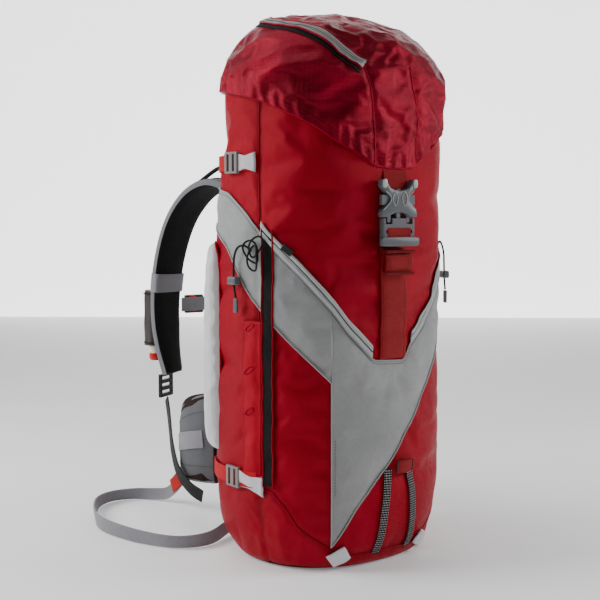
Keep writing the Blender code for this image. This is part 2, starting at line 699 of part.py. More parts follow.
def build_trigger():
    """Release handle in its sleeve on the left strap, with its hose."""
    side, out = -1.0, strap_outwards(-1.0)
    centre = Vector((side * 0.0955, 0.2550, 0.0)) + out * 0.0200
    up = Vector((0.0, 0.0, 1.0))
    turn = Matrix((strap_across(side, STRAP_TURN), -out, up))
    frame = Matrix.Translation(centre) @ turn.transposed().to_4x4()
    sleeve = block("handle_sleeve", (0.0250, 0.0215, 0.0800), (0.0, 0.0, 0.2835), "strap_foam", 0.0040,
                   frame)
    cut(sleeve, cylinder("sleeve_bore", HANDLE_RADIUS + 0.0010, 0.230, 0.280, centre, None))
    profile = ((0.0062, HANDLE_LOW), (HANDLE_RADIUS, HANDLE_LOW + 0.002),
               (HANDLE_RADIUS, HANDLE_TOP - 0.001), (0.0068, HANDLE_TOP))
    rings = [[centre + Vector((r * math.cos(math.tau * i / 24), r * math.sin(math.tau * i / 24), z))
              for i in range(24)] for r, z in profile]
    pivot(loft("trigger_handle", rings, "cream_plastic"), centre + up * HANDLE_TOP)
    path = [centre + up * 0.3242, centre + up * 0.340]
    for x, y, z in STRAP_ROUTE[5:2:-1]:
        path.append(Vector((side * x, y, z)) + Vector((-0.0085, 0.0110, 0.0045)))
    path += [Vector((-0.0755, 0.1600, 0.4900)), Vector((-0.0720, 0.1320, 0.4980)),
             Vector((-0.0690, 0.1080, 0.5030)), Vector((-0.0670, 0.0885, 0.5050))]
    tube("activation_hose", smooth_route(path, 5), 0.0030, "black_cord")


# Middle line of a hip fin, for the right side, and its lower and upper edge.
FIN_ROUTE = ((0.104, 0.110, 0.0), (0.116, 0.130, 0.0), (0.119, 0.154, 0.0), (0.111, 0.180, 0.0),
             (0.093, 0.204, 0.0), (0.069, 0.224, 0.0), (0.045, 0.237, 0.0))
FIN_LOW, FIN_HIGH = 0.070, (0.195, 0.190, 0.178, 0.163, 0.148, 0.134, 0.122)


def build_hip_fins():
    """Padded hip-belt fins."""
    up = Vector((0.0, 0.0, 1.0))
    for name, side in SIDES:
        points = [(x, y, 0.5 * (FIN_LOW + high)) for (x, y, _), high in zip(FIN_ROUTE, FIN_HIGH)]
        route = smooth_route(mirrored(points, side), 3)
        widths = [2.0 * (point.z - FIN_LOW) for point in route]
        sweep("hip_fin_" + name, route, [up] * len(route), widths, 0.012, "hip_fabric", 0.0036)


LEG_ROUTE = ((-0.0800, 0.2240, 0.0560), (-0.0785, 0.2480, 0.0455), (-0.0745, 0.2740, 0.0280),
             (-0.0740, 0.2990, 0.0135), (-0.0860, 0.3220, 0.0095), (-0.1080, 0.3400, 0.0095),
             (-0.1420, 0.3460, 0.0095), (-0.1740, 0.3260, 0.0095), (-0.2000, 0.2820, 0.0095),
             (-0.2150, 0.2420, 0.0095), (-0.2180, 0.2040, 0.0095), (-0.2080, 0.1480, 0.0095),
             (-0.1860, 0.0980, 0.0095), (-0.1600, 0.0790, 0.0095), (-0.1300, 0.0800, 0.0095),
             (-0.1000, 0.0970, 0.0110), (-0.0780, 0.1060, 0.0170), (-0.0640, 0.1080, 0.0300),
             (-0.0600, 0.1060, 0.0450))


def build_leg_strap():
    """Leg strap, lying on the ground in one wide loop."""
    tube("leg_strap", smooth_route(LEG_ROUTE, 4), LEG_RADIUS, "grey_webbing")


def build():
    """Build every sub-part of the pack."""
    build_base_boot()
    build_main_bag()
    build_collar()
    build_wing_panel()
    build_gussets()
    build_compression_straps()
    build_side_cords()
    build_tool_attachments()
    build_front_strap()
    build_buckle()
    build_lid()
    build_front_zip_slider()
    build_frame_sheet()
    build_back_pad()
    build_haul_loop()
    build_airbags()
    build_inflation()
    build_shoulder_straps()
    build_sternum_strap()
    build_trigger()
    build_hip_fins()
    build_leg_strap()


build()
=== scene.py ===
"""Looks of the avalanche airbag backpack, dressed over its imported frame.

Everything is in metres in the frame's axes: +Z up, -Y the pack's outer face,
+Y the wearer's side, -X the wearer's left. Sizes come from the frame's nodes.
"""

import json
import logging
import math
from dataclasses import dataclass
from enum import Enum
from typing import Callable, Sequence

import bmesh
import bpy
from mathutils import Matrix, Vector, noise
from mathutils.bvhtree import BVHTree

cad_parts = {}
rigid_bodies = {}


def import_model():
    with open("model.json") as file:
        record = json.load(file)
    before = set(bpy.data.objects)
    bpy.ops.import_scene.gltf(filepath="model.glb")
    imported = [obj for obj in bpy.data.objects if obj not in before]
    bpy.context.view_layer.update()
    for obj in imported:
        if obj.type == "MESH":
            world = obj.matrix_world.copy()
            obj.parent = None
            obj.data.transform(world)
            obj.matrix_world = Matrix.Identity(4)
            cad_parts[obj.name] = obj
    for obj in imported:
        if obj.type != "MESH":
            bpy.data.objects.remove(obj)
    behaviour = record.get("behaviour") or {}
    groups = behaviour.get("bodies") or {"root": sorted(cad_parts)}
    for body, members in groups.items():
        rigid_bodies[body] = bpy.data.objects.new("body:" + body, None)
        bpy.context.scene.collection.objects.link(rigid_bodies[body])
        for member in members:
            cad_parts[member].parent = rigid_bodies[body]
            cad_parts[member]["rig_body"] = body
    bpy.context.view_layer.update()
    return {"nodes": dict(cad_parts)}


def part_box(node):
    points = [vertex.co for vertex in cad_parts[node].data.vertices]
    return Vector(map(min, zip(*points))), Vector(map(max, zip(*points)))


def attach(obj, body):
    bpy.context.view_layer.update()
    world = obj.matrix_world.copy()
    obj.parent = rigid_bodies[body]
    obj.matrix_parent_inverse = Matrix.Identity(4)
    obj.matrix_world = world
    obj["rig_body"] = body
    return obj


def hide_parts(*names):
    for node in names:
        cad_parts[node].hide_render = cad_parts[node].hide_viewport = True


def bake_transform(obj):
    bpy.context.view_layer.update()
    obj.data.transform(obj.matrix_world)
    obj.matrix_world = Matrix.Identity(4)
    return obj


logging.basicConfig(level=logging.INFO, format="%(name)s: %(message)s")
LOG = logging.getLogger("backpack")

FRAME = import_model()
SIDES = (("left", -1.0), ("right", 1.0))
UP = Vector((0.0, 0.0, 1.0))
INWARD = Vector((0.0, 1.0, 0.0))
# Length of one degree of bearing on the bag's front.
DEGREE = 0.0022


# ---------------------------------------------------------------- finishes
class Weave(Enum):
    """How a surface is made, which sets its fine relief."""

    PLAIN = "plain"
    RIPSTOP = "ripstop"
    RIB = "rib"
    BRAID = "braid"
    MESH = "mesh"
    MOULDED = "moulded"
    DOTTED = "dotted"


def linear(red: int, green: int, blue: int) -> tuple[float, float, float, float]:
    """Turn display values from 0 to 255 into a linear colour."""
    return tuple((value / 255.0) ** 2.2 for value in (red, green, blue)) + (1.0,)


class Graph:
    """A small wrapper that adds and links shader nodes."""

    def __init__(self, material: bpy.types.Material) -> None:
        """Empty the material's tree.

        Args:
            material: the material to build.
        """
        material.use_nodes = True
        self.tree = material.node_tree
        self.tree.nodes.clear()

    def add(self, kind: str, inputs: dict | None = None, **settings) -> bpy.types.Node:
        """Add one node.

        Args:
            kind: the node's type without its ShaderNode prefix.
            inputs: socket name or index to a value or another node's socket.
            **settings: the node's own properties.

        Returns:
            The new node.
        """
        node = self.tree.nodes.new("ShaderNode" + kind)
        for key, value in settings.items():
            setattr(node, key, value)
        for key, value in (inputs or {}).items():
            if isinstance(value, bpy.types.NodeSocket):
                self.tree.links.new(value, node.inputs[key])
            else:
                node.inputs[key].default_value = value
        return node

    def math(self, operation: str, *values) -> bpy.types.NodeSocket:
        """Add a Math node and return its result."""
        node = self.add("Math", dict(enumerate(values)), operation=operation)
        return node.outputs[0]

    def wave(self, value: bpy.types.NodeSocket, pitch: float) -> bpy.types.NodeSocket:
        """Return a sine of a length, with the given pitch in metres."""
        return self.math("SINE", self.math("MULTIPLY", value, math.tau / pitch))


@dataclass(frozen=True)
class Finish:
    """One procedural material.

    Attributes:
        name: the material's name.
        slot: the record's material slot that it stands for.
        colour: display colour where the surface is clean and lit.
        deep: display colour of its patches of wear and of its painted shade.
        roughness: middle roughness.
        weave: how the surface is made.
        pitch: distance between two threads or ribs.
        relief: height of the threads or ribs.
        crinkle: height of the small random creases.
        sheen: weight of the soft fabric sheen.
        coat: weight of a clear gloss.
        metallic: 1 for bare metal.
        specular: strength of its plain reflection.
    """

    name: str
    slot: str
    colour: tuple[int, int, int]
    deep: tuple[int, int, int]
    roughness: float = 0.6
    weave: Weave = Weave.PLAIN
    pitch: float = 0.0009
    relief: float = 0.00008
    crinkle: float = 0.0
    sheen: float = 0.25
    coat: float = 0.0
    metallic: float = 0.0
    specular: float = 0.26

    def _relief(self, graph: Graph, uv, place) -> bpy.types.NodeSocket:
        """Build the fine height of the weave.

        Args:
            graph: the shader graph.
            uv: socket with the chart in metres.
            place: socket with the place in the frame.

        Returns:
            The socket with the height.
        """
        split = graph.add("SeparateXYZ", {0: uv})
        across, along = split.outputs[0], split.outputs[1]
        if self.weave is Weave.MOULDED:
            return graph.add("TexNoise", {"Vector": place, "Scale": 1400.0, "Detail": 3.0}).outputs[0]
        if self.weave in (Weave.RIB, Weave.DOTTED):
            lean = graph.math("ABSOLUTE", graph.wave(across, 0.0100))
            lean = graph.math("MULTIPLY_ADD", lean, 0.0006, along)
            ribs = graph.wave(lean, self.pitch)
            edge = graph.wave(across, 0.0013)
            return graph.math("MULTIPLY_ADD", edge, 0.25, ribs)
        if self.weave is Weave.BRAID:
            one = graph.wave(graph.math("ADD", across, along), self.pitch)
            two = graph.wave(graph.math("SUBTRACT", across, along), self.pitch)
            return graph.math("MULTIPLY", one, two)
        if self.weave is Weave.MESH:
            one = graph.math("ABSOLUTE", graph.wave(across, self.pitch * 2))
            two = graph.math("ABSOLUTE", graph.wave(along, self.pitch * 2))
            return graph.math("SUBTRACT", 1.0, graph.math("MULTIPLY", one, two))
        threads = graph.math("MULTIPLY", graph.wave(across, self.pitch), graph.wave(along, self.pitch))
        if self.weave is Weave.RIPSTOP:
            for length in (across, along):
                line = graph.math("PINGPONG", length, 0.0026)
                line = graph.math("LESS_THAN", line, 0.00028)
                threads = graph.math("MULTIPLY_ADD", line, 1.6, threads)
        return threads

    def material(self) -> bpy.types.Material:
        """Build the material once and return it.

        Returns:
            The shared material of this finish.
        """
        made = bpy.data.materials.get(self.name)
        if made is not None:
            return made
        made = bpy.data.materials.new(self.name)
        graph = Graph(made)
        coords = graph.add("TexCoord")
        place, uv = coords.outputs["Object"], coords.outputs["UV"]
        broad = graph.add("TexNoise", {"Vector": place, "Scale": 11.0, "Detail": 4.0}).outputs[0]
        fine = graph.add("TexNoise", {"Vector": place, "Scale": 240.0, "Detail": 2.0}).outputs[0]
        # Random blotches plus the tone attribute lean the colour to deep; the tone attribute holds painted
        # shade along the bag's seams and in the grey panel's creases.
        tone = graph.add("Attribute", attribute_name="tone").outputs["Fac"]
        wear_and_shade = graph.math("MULTIPLY_ADD", graph.math("SUBTRACT", broad, 0.5), 0.9, tone)
        wear_and_shade = graph.math("MULTIPLY_ADD", graph.math("SUBTRACT", fine, 0.5), 0.35, wear_and_shade)
        clean, deep = linear(*self.colour), linear(*self.deep)
        blend = graph.add("Mix", {"Factor": wear_and_shade, 6: clean, 7: deep}, data_type="RGBA", clamp_factor=True)
        colour = blend.outputs[2]
        height = self._relief(graph, uv, place)
        if self.weave not in (Weave.MOULDED, Weave.BRAID):
            shadow = graph.math("MULTIPLY_ADD", height, 0.07, 0.93)
            colour = graph.add("Mix", {"Factor": 1.0, 6: colour, 7: shadow}, data_type="RGBA",
                               blend_type="MULTIPLY").outputs[2]
        if self.weave is Weave.DOTTED:
            colour = self._dots(graph, uv, colour)
        rough = graph.math("MULTIPLY_ADD", graph.math("SUBTRACT", fine, 0.5), 0.22, self.roughness)
        bump = graph.add("Bump", {"Strength": 1.0, "Distance": self.relief, "Height": height})
        normal = bump.outputs[0]
        if self.crinkle > 0.0:
            ridges = {"Vector": place, "Scale": 62.0, "Detail": 5.0, "Roughness": 0.62, "Distortion": 0.6}
            folds = graph.add("TexNoise", ridges, noise_type="RIDGED_MULTIFRACTAL").outputs[0]
            normal = graph.add("Bump", {"Strength": 0.8, "Distance": self.crinkle, "Height": folds,
                                        "Normal": normal}).outputs[0]
        shader = graph.add("BsdfPrincipled", {"Base Color": colour, "Roughness": rough, "Normal": normal,
                                              "Metallic": self.metallic, "Sheen Weight": self.sheen * 0.6,
                                              "Sheen Roughness": 0.4, "Sheen Tint": clean,
                                              "Specular IOR Level": self.specular, "Coat Weight": self.coat,
                                              "Coat Roughness": 0.25})
        output = graph.add("OutputMaterial")
        graph.tree.links.new(shader.outputs[0], output.inputs[0])
        return made

    def _dots(self, graph: Graph, uv, colour) -> bpy.types.NodeSocket:
        """Lay rows of pale dots over the colour.

        Args:
            graph: the shader graph.
            uv: socket with the chart in metres.
            colour: socket with the colour so far.

        Returns:
            The socket with the dotted colour.
        """
        split = graph.add("SeparateXYZ", {0: uv})
        reaches = []
        for length, cell in ((split.outputs[0], 0.0024), (split.outputs[1], 0.0030)):
            offset = graph.math("SUBTRACT", graph.math("PINGPONG", length, cell), cell * 0.5)
            reaches.append(graph.math("MULTIPLY", offset, offset))
        dot = graph.math("LESS_THAN", graph.math("ADD", *reaches), 0.0005 ** 2)
        return graph.add("Mix", {"Factor": dot, 6: colour, 7: linear(225, 225, 225)},
                         data_type="RGBA").outputs[2]


BAG_RED = Finish("bag_red_nylon", "red_fabric", (158, 0, 36), (92, 0, 18), 0.46,
                 crinkle=0.0004, sheen=0.02, metallic=0.30, specular=0.12)
LID_RED = Finish("lid_crinkled_ripstop", "lid_ripstop", (156, 0, 44), (48, 0, 14), 0.34, Weave.RIPSTOP,
                 relief=0.00006, crinkle=0.0006, sheen=0.02, metallic=0.55, specular=0.15)
GREY = Finish("panel_grey_oxford", "grey_fabric", (164, 165, 166), (126, 127, 128), 0.56,
              pitch=0.0011, crinkle=0.0003, sheen=0.15)
COVER = Finish("airbag_cover_grey", "cover_fabric", (222, 223, 225), (184, 186, 190), 0.54,
               crinkle=0.0003, sheen=0.15)
GUSSET = Finish("gusset_bright_red", "gusset_red", (172, 0, 38), (116, 0, 20), 0.46,
                crinkle=0.0004, sheen=0.02, metallic=0.25, specular=0.12)
RED_WEB = Finish("webbing_red", "red_webbing", (150, 0, 20), (92, 0, 10), 0.6, Weave.RIB, 0.0016,
                 0.00022, sheen=0.2)
ORANGE_WEB = Finish("webbing_orange_red", "red_webbing", (196, 34, 16), (150, 20, 10), 0.66, Weave.RIB,
                    0.0016, 0.00022, sheen=0.2)
WHITE_WEB = Finish("webbing_white", "white_webbing", (224, 222, 228), (186, 184, 190), 0.7, Weave.RIB,
                   0.0016, 0.0002, sheen=0.2)
GREY_WEB = Finish("webbing_grey", "grey_webbing", (146, 144, 150), (100, 98, 103), 0.38, Weave.RIB, 0.0016,
                  0.0002, sheen=0.35)
BLACK_WEB = Finish("webbing_black", "grey_webbing", (34, 32, 34), (18, 17, 18), 0.62, Weave.RIB, 0.0016,
                   0.0002, sheen=0.2)
DOTTED = Finish("band_dotted", "dotted_webbing", (30, 28, 30), (16, 15, 16), 0.66, Weave.DOTTED, 0.0016,
                0.00018)
GREY_PLASTIC = Finish("acetal_grey", "grey_plastic", (96, 99, 103), (70, 73, 77), 0.36, Weave.MOULDED,
                      relief=0.00004, sheen=0.0, coat=0.15)
BLACK_PLASTIC = Finish("acetal_black", "black_plastic", (30, 30, 32), (16, 16, 17), 0.42, Weave.MOULDED,
                       relief=0.00004, sheen=0.0, coat=0.15)
CREAM = Finish("handle_cream", "cream_plastic", (226, 221, 198), (196, 188, 160), 0.36, Weave.MOULDED,
               relief=0.00003, sheen=0.0, coat=0.3)
RED_PLASTIC = Finish("handle_red", "cream_plastic", (196, 20, 18), (150, 10, 10), 0.34, Weave.MOULDED,
                     relief=0.00003, sheen=0.0, coat=0.3)
FOAM = Finish("strap_brushed_black", "strap_foam", (24, 23, 25), (10, 10, 11), 0.82, Weave.MESH, 0.0011,
              0.0002, sheen=0.35)
PALE_EDGE = Finish("strap_pale_edge", "strap_foam", (120, 122, 126), (86, 88, 92), 0.6,
                   sheen=0.3)
BACK_MESH = Finish("back_spacer_mesh", "back_mesh", (52, 50, 52), (24, 23, 24), 0.85, Weave.MESH, 0.0018,
                   0.0005, sheen=0.3)
HIP = Finish("hip_grey_nylon", "hip_fabric", (98, 100, 103), (66, 68, 71), 0.6,
             crinkle=0.0006, sheen=0.25)
HIP_DARK = Finish("hip_lining_dark", "hip_fabric", (50, 34, 30), (30, 20, 18), 0.8, Weave.MESH, 0.0014,
                  0.0003, sheen=0.2)
LINING = Finish("bag_lining", "red_fabric", (96, 98, 102), (64, 66, 70), 0.5, crinkle=0.0005)
# Black of the zip coils and the lid's zip net; on the side_gap strips the same black is painted shade for the
# deep side folds.
BLACK_AND_GAP_SHADE = Finish("black_and_side_gap_shade", "black_cord", (16, 13, 14), (8, 7, 8), 0.8, sheen=0.1)
CORD = Finish("cord_black_braid", "black_cord", (30, 30, 33), (16, 16, 18), 0.6, Weave.BRAID, 0.0012,
              0.0002, sheen=0.2)
THREAD_RED = Finish("thread_red", "red_fabric", (150, 26, 38), (110, 14, 24), 0.6, Weave.MOULDED)
THREAD_DARK = Finish("thread_dark", "black_cord", (58, 54, 56), (40, 38, 40), 0.6, Weave.MOULDED)
THREAD_PALE = Finish("thread_pale", "grey_fabric", (206, 206, 208), (170, 170, 172), 0.6, Weave.MOULDED)
PIPING = Finish("piping_pale", "grey_fabric", (178, 179, 180), (146, 147, 148), 0.5)
ZIP_TAPE = Finish("zip_tape_grey", "grey_fabric", (184, 188, 186), (140, 144, 142), 0.4, Weave.RIB, 0.0012,
                  0.00015, coat=0.1)
STEEL = Finish("bottle_steel", "steel", (182, 186, 190), (150, 154, 158), 0.3, Weave.MOULDED, metallic=1.0,
               sheen=0.0)
ALUMINIUM = Finish("unit_aluminium", "aluminium", (172, 174, 178), (140, 142, 146), 0.36, Weave.MOULDED,
                   metallic=1.0, sheen=0.0)
FRAME_PLASTIC = Finish("frame_sheet_plastic", "frame_plastic", (62, 64, 68), (44, 46, 50), 0.5,
                       Weave.MOULDED, relief=0.0001, sheen=0.0)
RED_WEB_LIGHT = Finish("webbing_red_light", "red_webbing", (196, 0, 30), (134, 0, 18), 0.56, Weave.RIB,
                       0.0016, 0.00022, sheen=0.2)
PALE_PLASTIC = Finish("acetal_pale", "grey_plastic", (168, 172, 172), (132, 136, 136), 0.36, Weave.MOULDED,
                      relief=0.00003, sheen=0.0, coat=0.2)
HOOK_METAL = Finish("hook_cast", "grey_plastic", (120, 118, 116), (84, 82, 80), 0.38, Weave.MOULDED,
                    relief=0.00004, sheen=0.0, coat=0.2)
DARK_METAL = Finish("slider_dark", "black_plastic", (44, 44, 46), (26, 26, 28), 0.32, Weave.MOULDED,
                    relief=0.00004, sheen=0.0, coat=0.2)
SLEEVE = Finish("sleeve_dark_nylon", "hip_fabric", (58, 48, 46), (34, 28, 28), 0.32,
                crinkle=0.0005, sheen=0.1, coat=0.2)


# ------------------------------------------------------------------- form
@dataclass(frozen=True)
class Form:
    """The ideal outer form of the bag and its lid, read from the frame."""

    half_width: float
    front_depth: float
    back_depth: float
    rim_z: float
    top_z: float
    base_round: float = 0.100
    narrowing: float = 0.20
    lid_shift: float = 0.070
    lid_lift: float = 0.0060

    @classmethod
    def from_frame(cls) -> "Form":
        """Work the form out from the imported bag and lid.

        Returns:
            The form of this frame.
        """
        low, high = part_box("main_bag")
        lid_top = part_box("lid_shell")[1].z
        return cls(high.x, -low.y, high.y, high.z + 0.002, lid_top)

    def skin(self, theta: float, z: float, lift: float = 0.0) -> Vector:
        """Give a point of the skin at a bearing and a height.

        Args:
            theta: bearing in degrees, 0 at the outer face, positive to +X.
            z: height.
            lift: distance outside the skin.

        Returns:
            The point.
        """
        angle = math.radians(theta)
        side, ahead = math.sin(angle), math.cos(angle)
        rise = min(max(z / self.base_round, 0.0), 1.0)
        back = min(1.0, max(0.0, -ahead) * 1.8)
        narrowing = self.narrowing + 0.22 * back * back * (3.0 - 2.0 * back)
        fullness = 1.0 - narrowing * (1.0 - math.sqrt(1.0 - (1.0 - rise) ** 2))
        if ahead >= 0.0:
            depth, power = self.front_depth * fullness, 2.3
        else:
            slim = min(max((z - 0.36) / 0.22, 0.0), 1.0)
            slim *= slim * (3.0 - 2.0 * slim)
            depth = self.back_depth * (0.9 + 0.1 * fullness) * (1.0 - 0.10 * slim)
            power = 4.0 - 1.6 * slim
        across = abs(side / (self.half_width * fullness)) ** power
        radius = (across + abs(ahead / depth) ** power) ** (-1.0 / power) + lift
        return Vector((radius * side, -radius * ahead, z))

    def outwards(self, theta: float, z: float) -> Vector:
        """Give the level direction straight out of the skin."""
        along = self.skin(theta + 0.5, z) - self.skin(theta - 0.5, z)
        return along.cross(UP).normalized()

    def arc(self, theta: float) -> float:
        """Give the distance round the skin from the middle front to a bearing.

        Args:
            theta: bearing in degrees.

        Returns:
            The distance, with the bearing's sign.
        """
        if not ARCS:
            points = [self.skin(step, 0.3) for step in range(182)]
            ARCS.append(0.0)
            for a, b in zip(points, points[1:]):
                ARCS.append(ARCS[-1] + (b - a).length)
        low = min(int(abs(theta)), 180)
        length = ARCS[low] + (ARCS[low + 1] - ARCS[low]) * (abs(theta) - low)
        return math.copysign(length, theta)

    def dome(self, theta: float, share: float, lift: float = 0.0) -> Vector:
        """Give a point of the lid's dome, share 1 at the rim and 0 on top.

        Args:
            theta: bearing in degrees.
            share: distance from the top, as a share of the rim's.
            lift: distance outside the dome.

        Returns:
            The point.
        """
        rim = self.skin(theta, self.rim_z, self.lid_lift + lift)
        rise = self.top_z - self.rim_z + lift * 0.5
        sine = math.sqrt(max(0.0, 1.0 - share * share))
        around = min(1.0, max(0.0, (abs(theta) - 66.0) / 50.0))
        right = max(0.0, math.sin(math.radians(theta)))
        lean = 0.15 * around * around * (3.0 - 2.0 * around) + 0.05 * right
        share_out = share * (1.0 - lean * 2.0 * share * sine)
        return Vector((rim.x * share_out, rim.y * share_out + self.lid_shift * (1.0 - share),
                       self.rim_z + rise * sine))


ARCS: list[float] = []
FORM = Form.from_frame()


def between(points: Sequence[tuple[float, float]], x: float) -> float:
    """Read an outline of (x, value) pairs, straight between them.

    Args:
        points: the outline's corners.
        x: where to read it.

    Returns:
        The value there.
    """
    if x <= points[0][0]:
        return points[0][1]
    for (x0, v0), (x1, v1) in zip(points, points[1:]):
        if x <= x1:
            return v0 + (v1 - v0) * (x - x0) / (x1 - x0)
    return points[-1][1]


def eased(points: Sequence[tuple[float, float]], x: float, width: float = 3.0) -> float:
    """Read an outline with its corners rounded over a width."""
    reads = [between(points, x + width * shift) for shift in (-1.0, -0.5, 0.0, 0.5, 1.0)]
    return (reads[0] + 2 * reads[1] + 2 * reads[2] + 2 * reads[3] + reads[4]) / 8.0


def smooth_route(points: Sequence[Sequence[float]], per_span: int = 6) -> list[Vector]:
    """Read a route of listed points from one smooth curve.

    Args:
        points: the points that the curve passes.
        per_span: steps from one point to the next.

    Returns:
        The dense route.
    """
    route = [Vector(point) for point in points]
    route = [2 * route[0] - route[1]] + route + [2 * route[-1] - route[-2]]
    out = []
    for p0, p1, p2, p3 in zip(route, route[1:], route[2:], route[3:]):
        for i in range(per_span):
            t = i / per_span
            out.append(0.5 * (2 * p1 + (p2 - p0) * t + (2 * p0 - 5 * p1 + 4 * p2 - p3) * t * t
                              + (3 * p1 - p0 - 3 * p2 + p3) * t ** 3))
    out.append(route[-2])
    return out


def heading(route: Sequence[Vector], i: int) -> Vector:
    """Give the step past a point, from the one before it to the one after."""
    return route[min(i + 1, len(route) - 1)] - route[max(i - 1, 0)]


def bearing_of(place: Vector) -> float:
    """Give a point's bearing in degrees, 0 at the outer face."""
    return math.degrees(math.atan2(place.x, -place.y))


def at_depth(y: float) -> Matrix:
    """Give the frame of a plate whose plane lies at a depth."""
    return Matrix.Translation((0.0, y, 0.0))


# ---------------------------------------------------------------- building
def deselect() -> None:
    """Leave edit mode and select nothing."""
    if bpy.context.object is not None and bpy.context.object.mode != "OBJECT":
        bpy.ops.object.mode_set(mode="OBJECT")
    bpy.ops.object.select_all(action="DESELECT")


def edit(item: bpy.types.Object, *steps: Callable[[], object]) -> None:
    """Run edit-mode steps on the whole of a piece.

    Args:
        item: the piece.
        *steps: the operators to run, in order.
    """
    deselect()
    bpy.context.view_layer.objects.active = item
    item.select_set(True)
    bpy.ops.object.mode_set(mode="EDIT")
    bpy.ops.mesh.select_all(action="SELECT")
    for step in steps:
        step()
    bpy.ops.object.mode_set(mode="OBJECT")
    item.select_set(False)


def merge() -> None:
    """Weld points that lie on each other."""
    bpy.ops.mesh.remove_doubles(threshold=2e-6)


def close() -> None:
    """Close every open end."""
    bpy.ops.mesh.fill_holes(sides=0)


def face_out() -> None:
    """Turn every face outwards."""
    bpy.ops.mesh.normals_make_consistent(inside=False)


def crisp(item: bpy.types.Object, angle: float = 0.7) -> bpy.types.Object:
    """Shade a piece smooth with its corners kept.

    Args:
        item: the piece.
        angle: sharpest turn that is still smoothed, in radians.

    Returns:
        The same piece.
    """
    deselect()
    bpy.context.view_layer.objects.active = item
    item.select_set(True)
    bpy.ops.object.shade_smooth_by_angle(angle=angle)
    item.select_set(False)
    return item


def dress(item: bpy.types.Object, name: str, finish: Finish, body: str = "pack") -> bpy.types.Object:
    """Name a new piece, give it its finish and let it ride on a body.

    Args:
        item: the piece.
        name: its name.
        finish: its material.
        body: the body that it rides on.

    Returns:
        The same piece.
    """
    item.name = item.data.name = name
    item.data.materials.clear()
    item.data.materials.append(finish.material())
    if isinstance(item.data, bpy.types.Mesh):
        item.data.polygons.foreach_set("use_smooth", [True] * len(item.data.polygons))
    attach(item, body)
    return item


def lattice(name: str, columns: int, rows: int, place: Callable[[int, int], Vector],
            chart: Callable[[int, int], tuple[float, float]], finish: Finish, body: str = "pack",
            wrap: bool = False, pin: Callable[[int, int], float] | None = None) -> bpy.types.Object:
    """Shape a grid of cloth, with a chart in metres.

    Args:
        name: the piece's name.
        columns: number of columns.
        rows: number of rows.
        place: gives the point at a column and a row.
        chart: gives the UV at a column and a row.
        finish: the sheet's material.
        body: the body that it rides on.
        wrap: joins the last column to the first.
        pin: says how firmly each point is sewn down.

    Returns:
        The new piece.
    """
    deselect()
    wide, tall = (columns if wrap else columns - 1), rows - 1
    bpy.ops.mesh.primitive_grid_add(x_subdivisions=wide, y_subdivisions=tall, size=2.0)
    item = bpy.context.active_object
    mesh = item.data
    cells = [(round((v.co.x + 1.0) * 0.5 * wide), round((v.co.y + 1.0) * 0.5 * tall)) for v in mesh.vertices]
    for vertex, (i, j) in zip(mesh.vertices, cells):
        vertex.co = place(i % columns, j)
    layer = mesh.uv_layers.active or mesh.uv_layers.new(name="UVMap")
    for loop, corner in zip(mesh.loops, layer.data):
        corner.uv = chart(*cells[loop.vertex_index])
    if pin is not None:
        held = mesh.attributes.new("sewn", "FLOAT", "POINT")
        held.data.foreach_set("value", [pin(i % columns, j) for i, j in cells])
    if wrap:
        edit(item, merge)
    return dress(item, name, finish, body)


def apply_modifier(item: bpy.types.Object, kind: str, **settings) -> bpy.types.Object:
    """Add a modifier with its settings and apply it.

    Args:
        item: the piece.
        kind: the modifier's type.
        **settings: the modifier's own properties.

    Returns:
        The same piece.
    """
    deselect()
    bpy.context.view_layer.objects.active = item
    item.select_set(True)
    modifier = item.modifiers.new(kind.lower(), kind)
    for key, value in settings.items():
        setattr(modifier, key, value)
    bpy.ops.object.modifier_apply(modifier=modifier.name)
    item.select_set(False)
    return item


def thicken(item: bpy.types.Object, thickness: float) -> bpy.types.Object:
    """Give a sheet its thickness, inwards from its face."""
    return apply_modifier(item, "SOLIDIFY", thickness=thickness, offset=-1.0)


def refine(item: bpy.types.Object) -> bpy.types.Object:
    """Subdivide a piece once."""
    return apply_modifier(item, "SUBSURF", levels=1, render_levels=1)


def look_along(item: bpy.types.Object, direction: Vector) -> None:
    """Turn a sheet over where its face looks against a direction."""
    if item.data.polygons[0].normal.dot(direction) < 0.0:
        item.data.flip_normals()


def set_tone(item: bpy.types.Object, shade: Callable[[Vector], float]) -> None:
    """Paint how far each point leans to its finish's deep colour.

    Args:
        item: the piece.
        shade: gives the lean at a point.
    """
    mesh = item.data
    layer = mesh.attributes.get("tone") or mesh.attributes.new("tone", "FLOAT", "POINT")
    layer.data.foreach_set("value", [shade(vertex.co) for vertex in mesh.vertices])


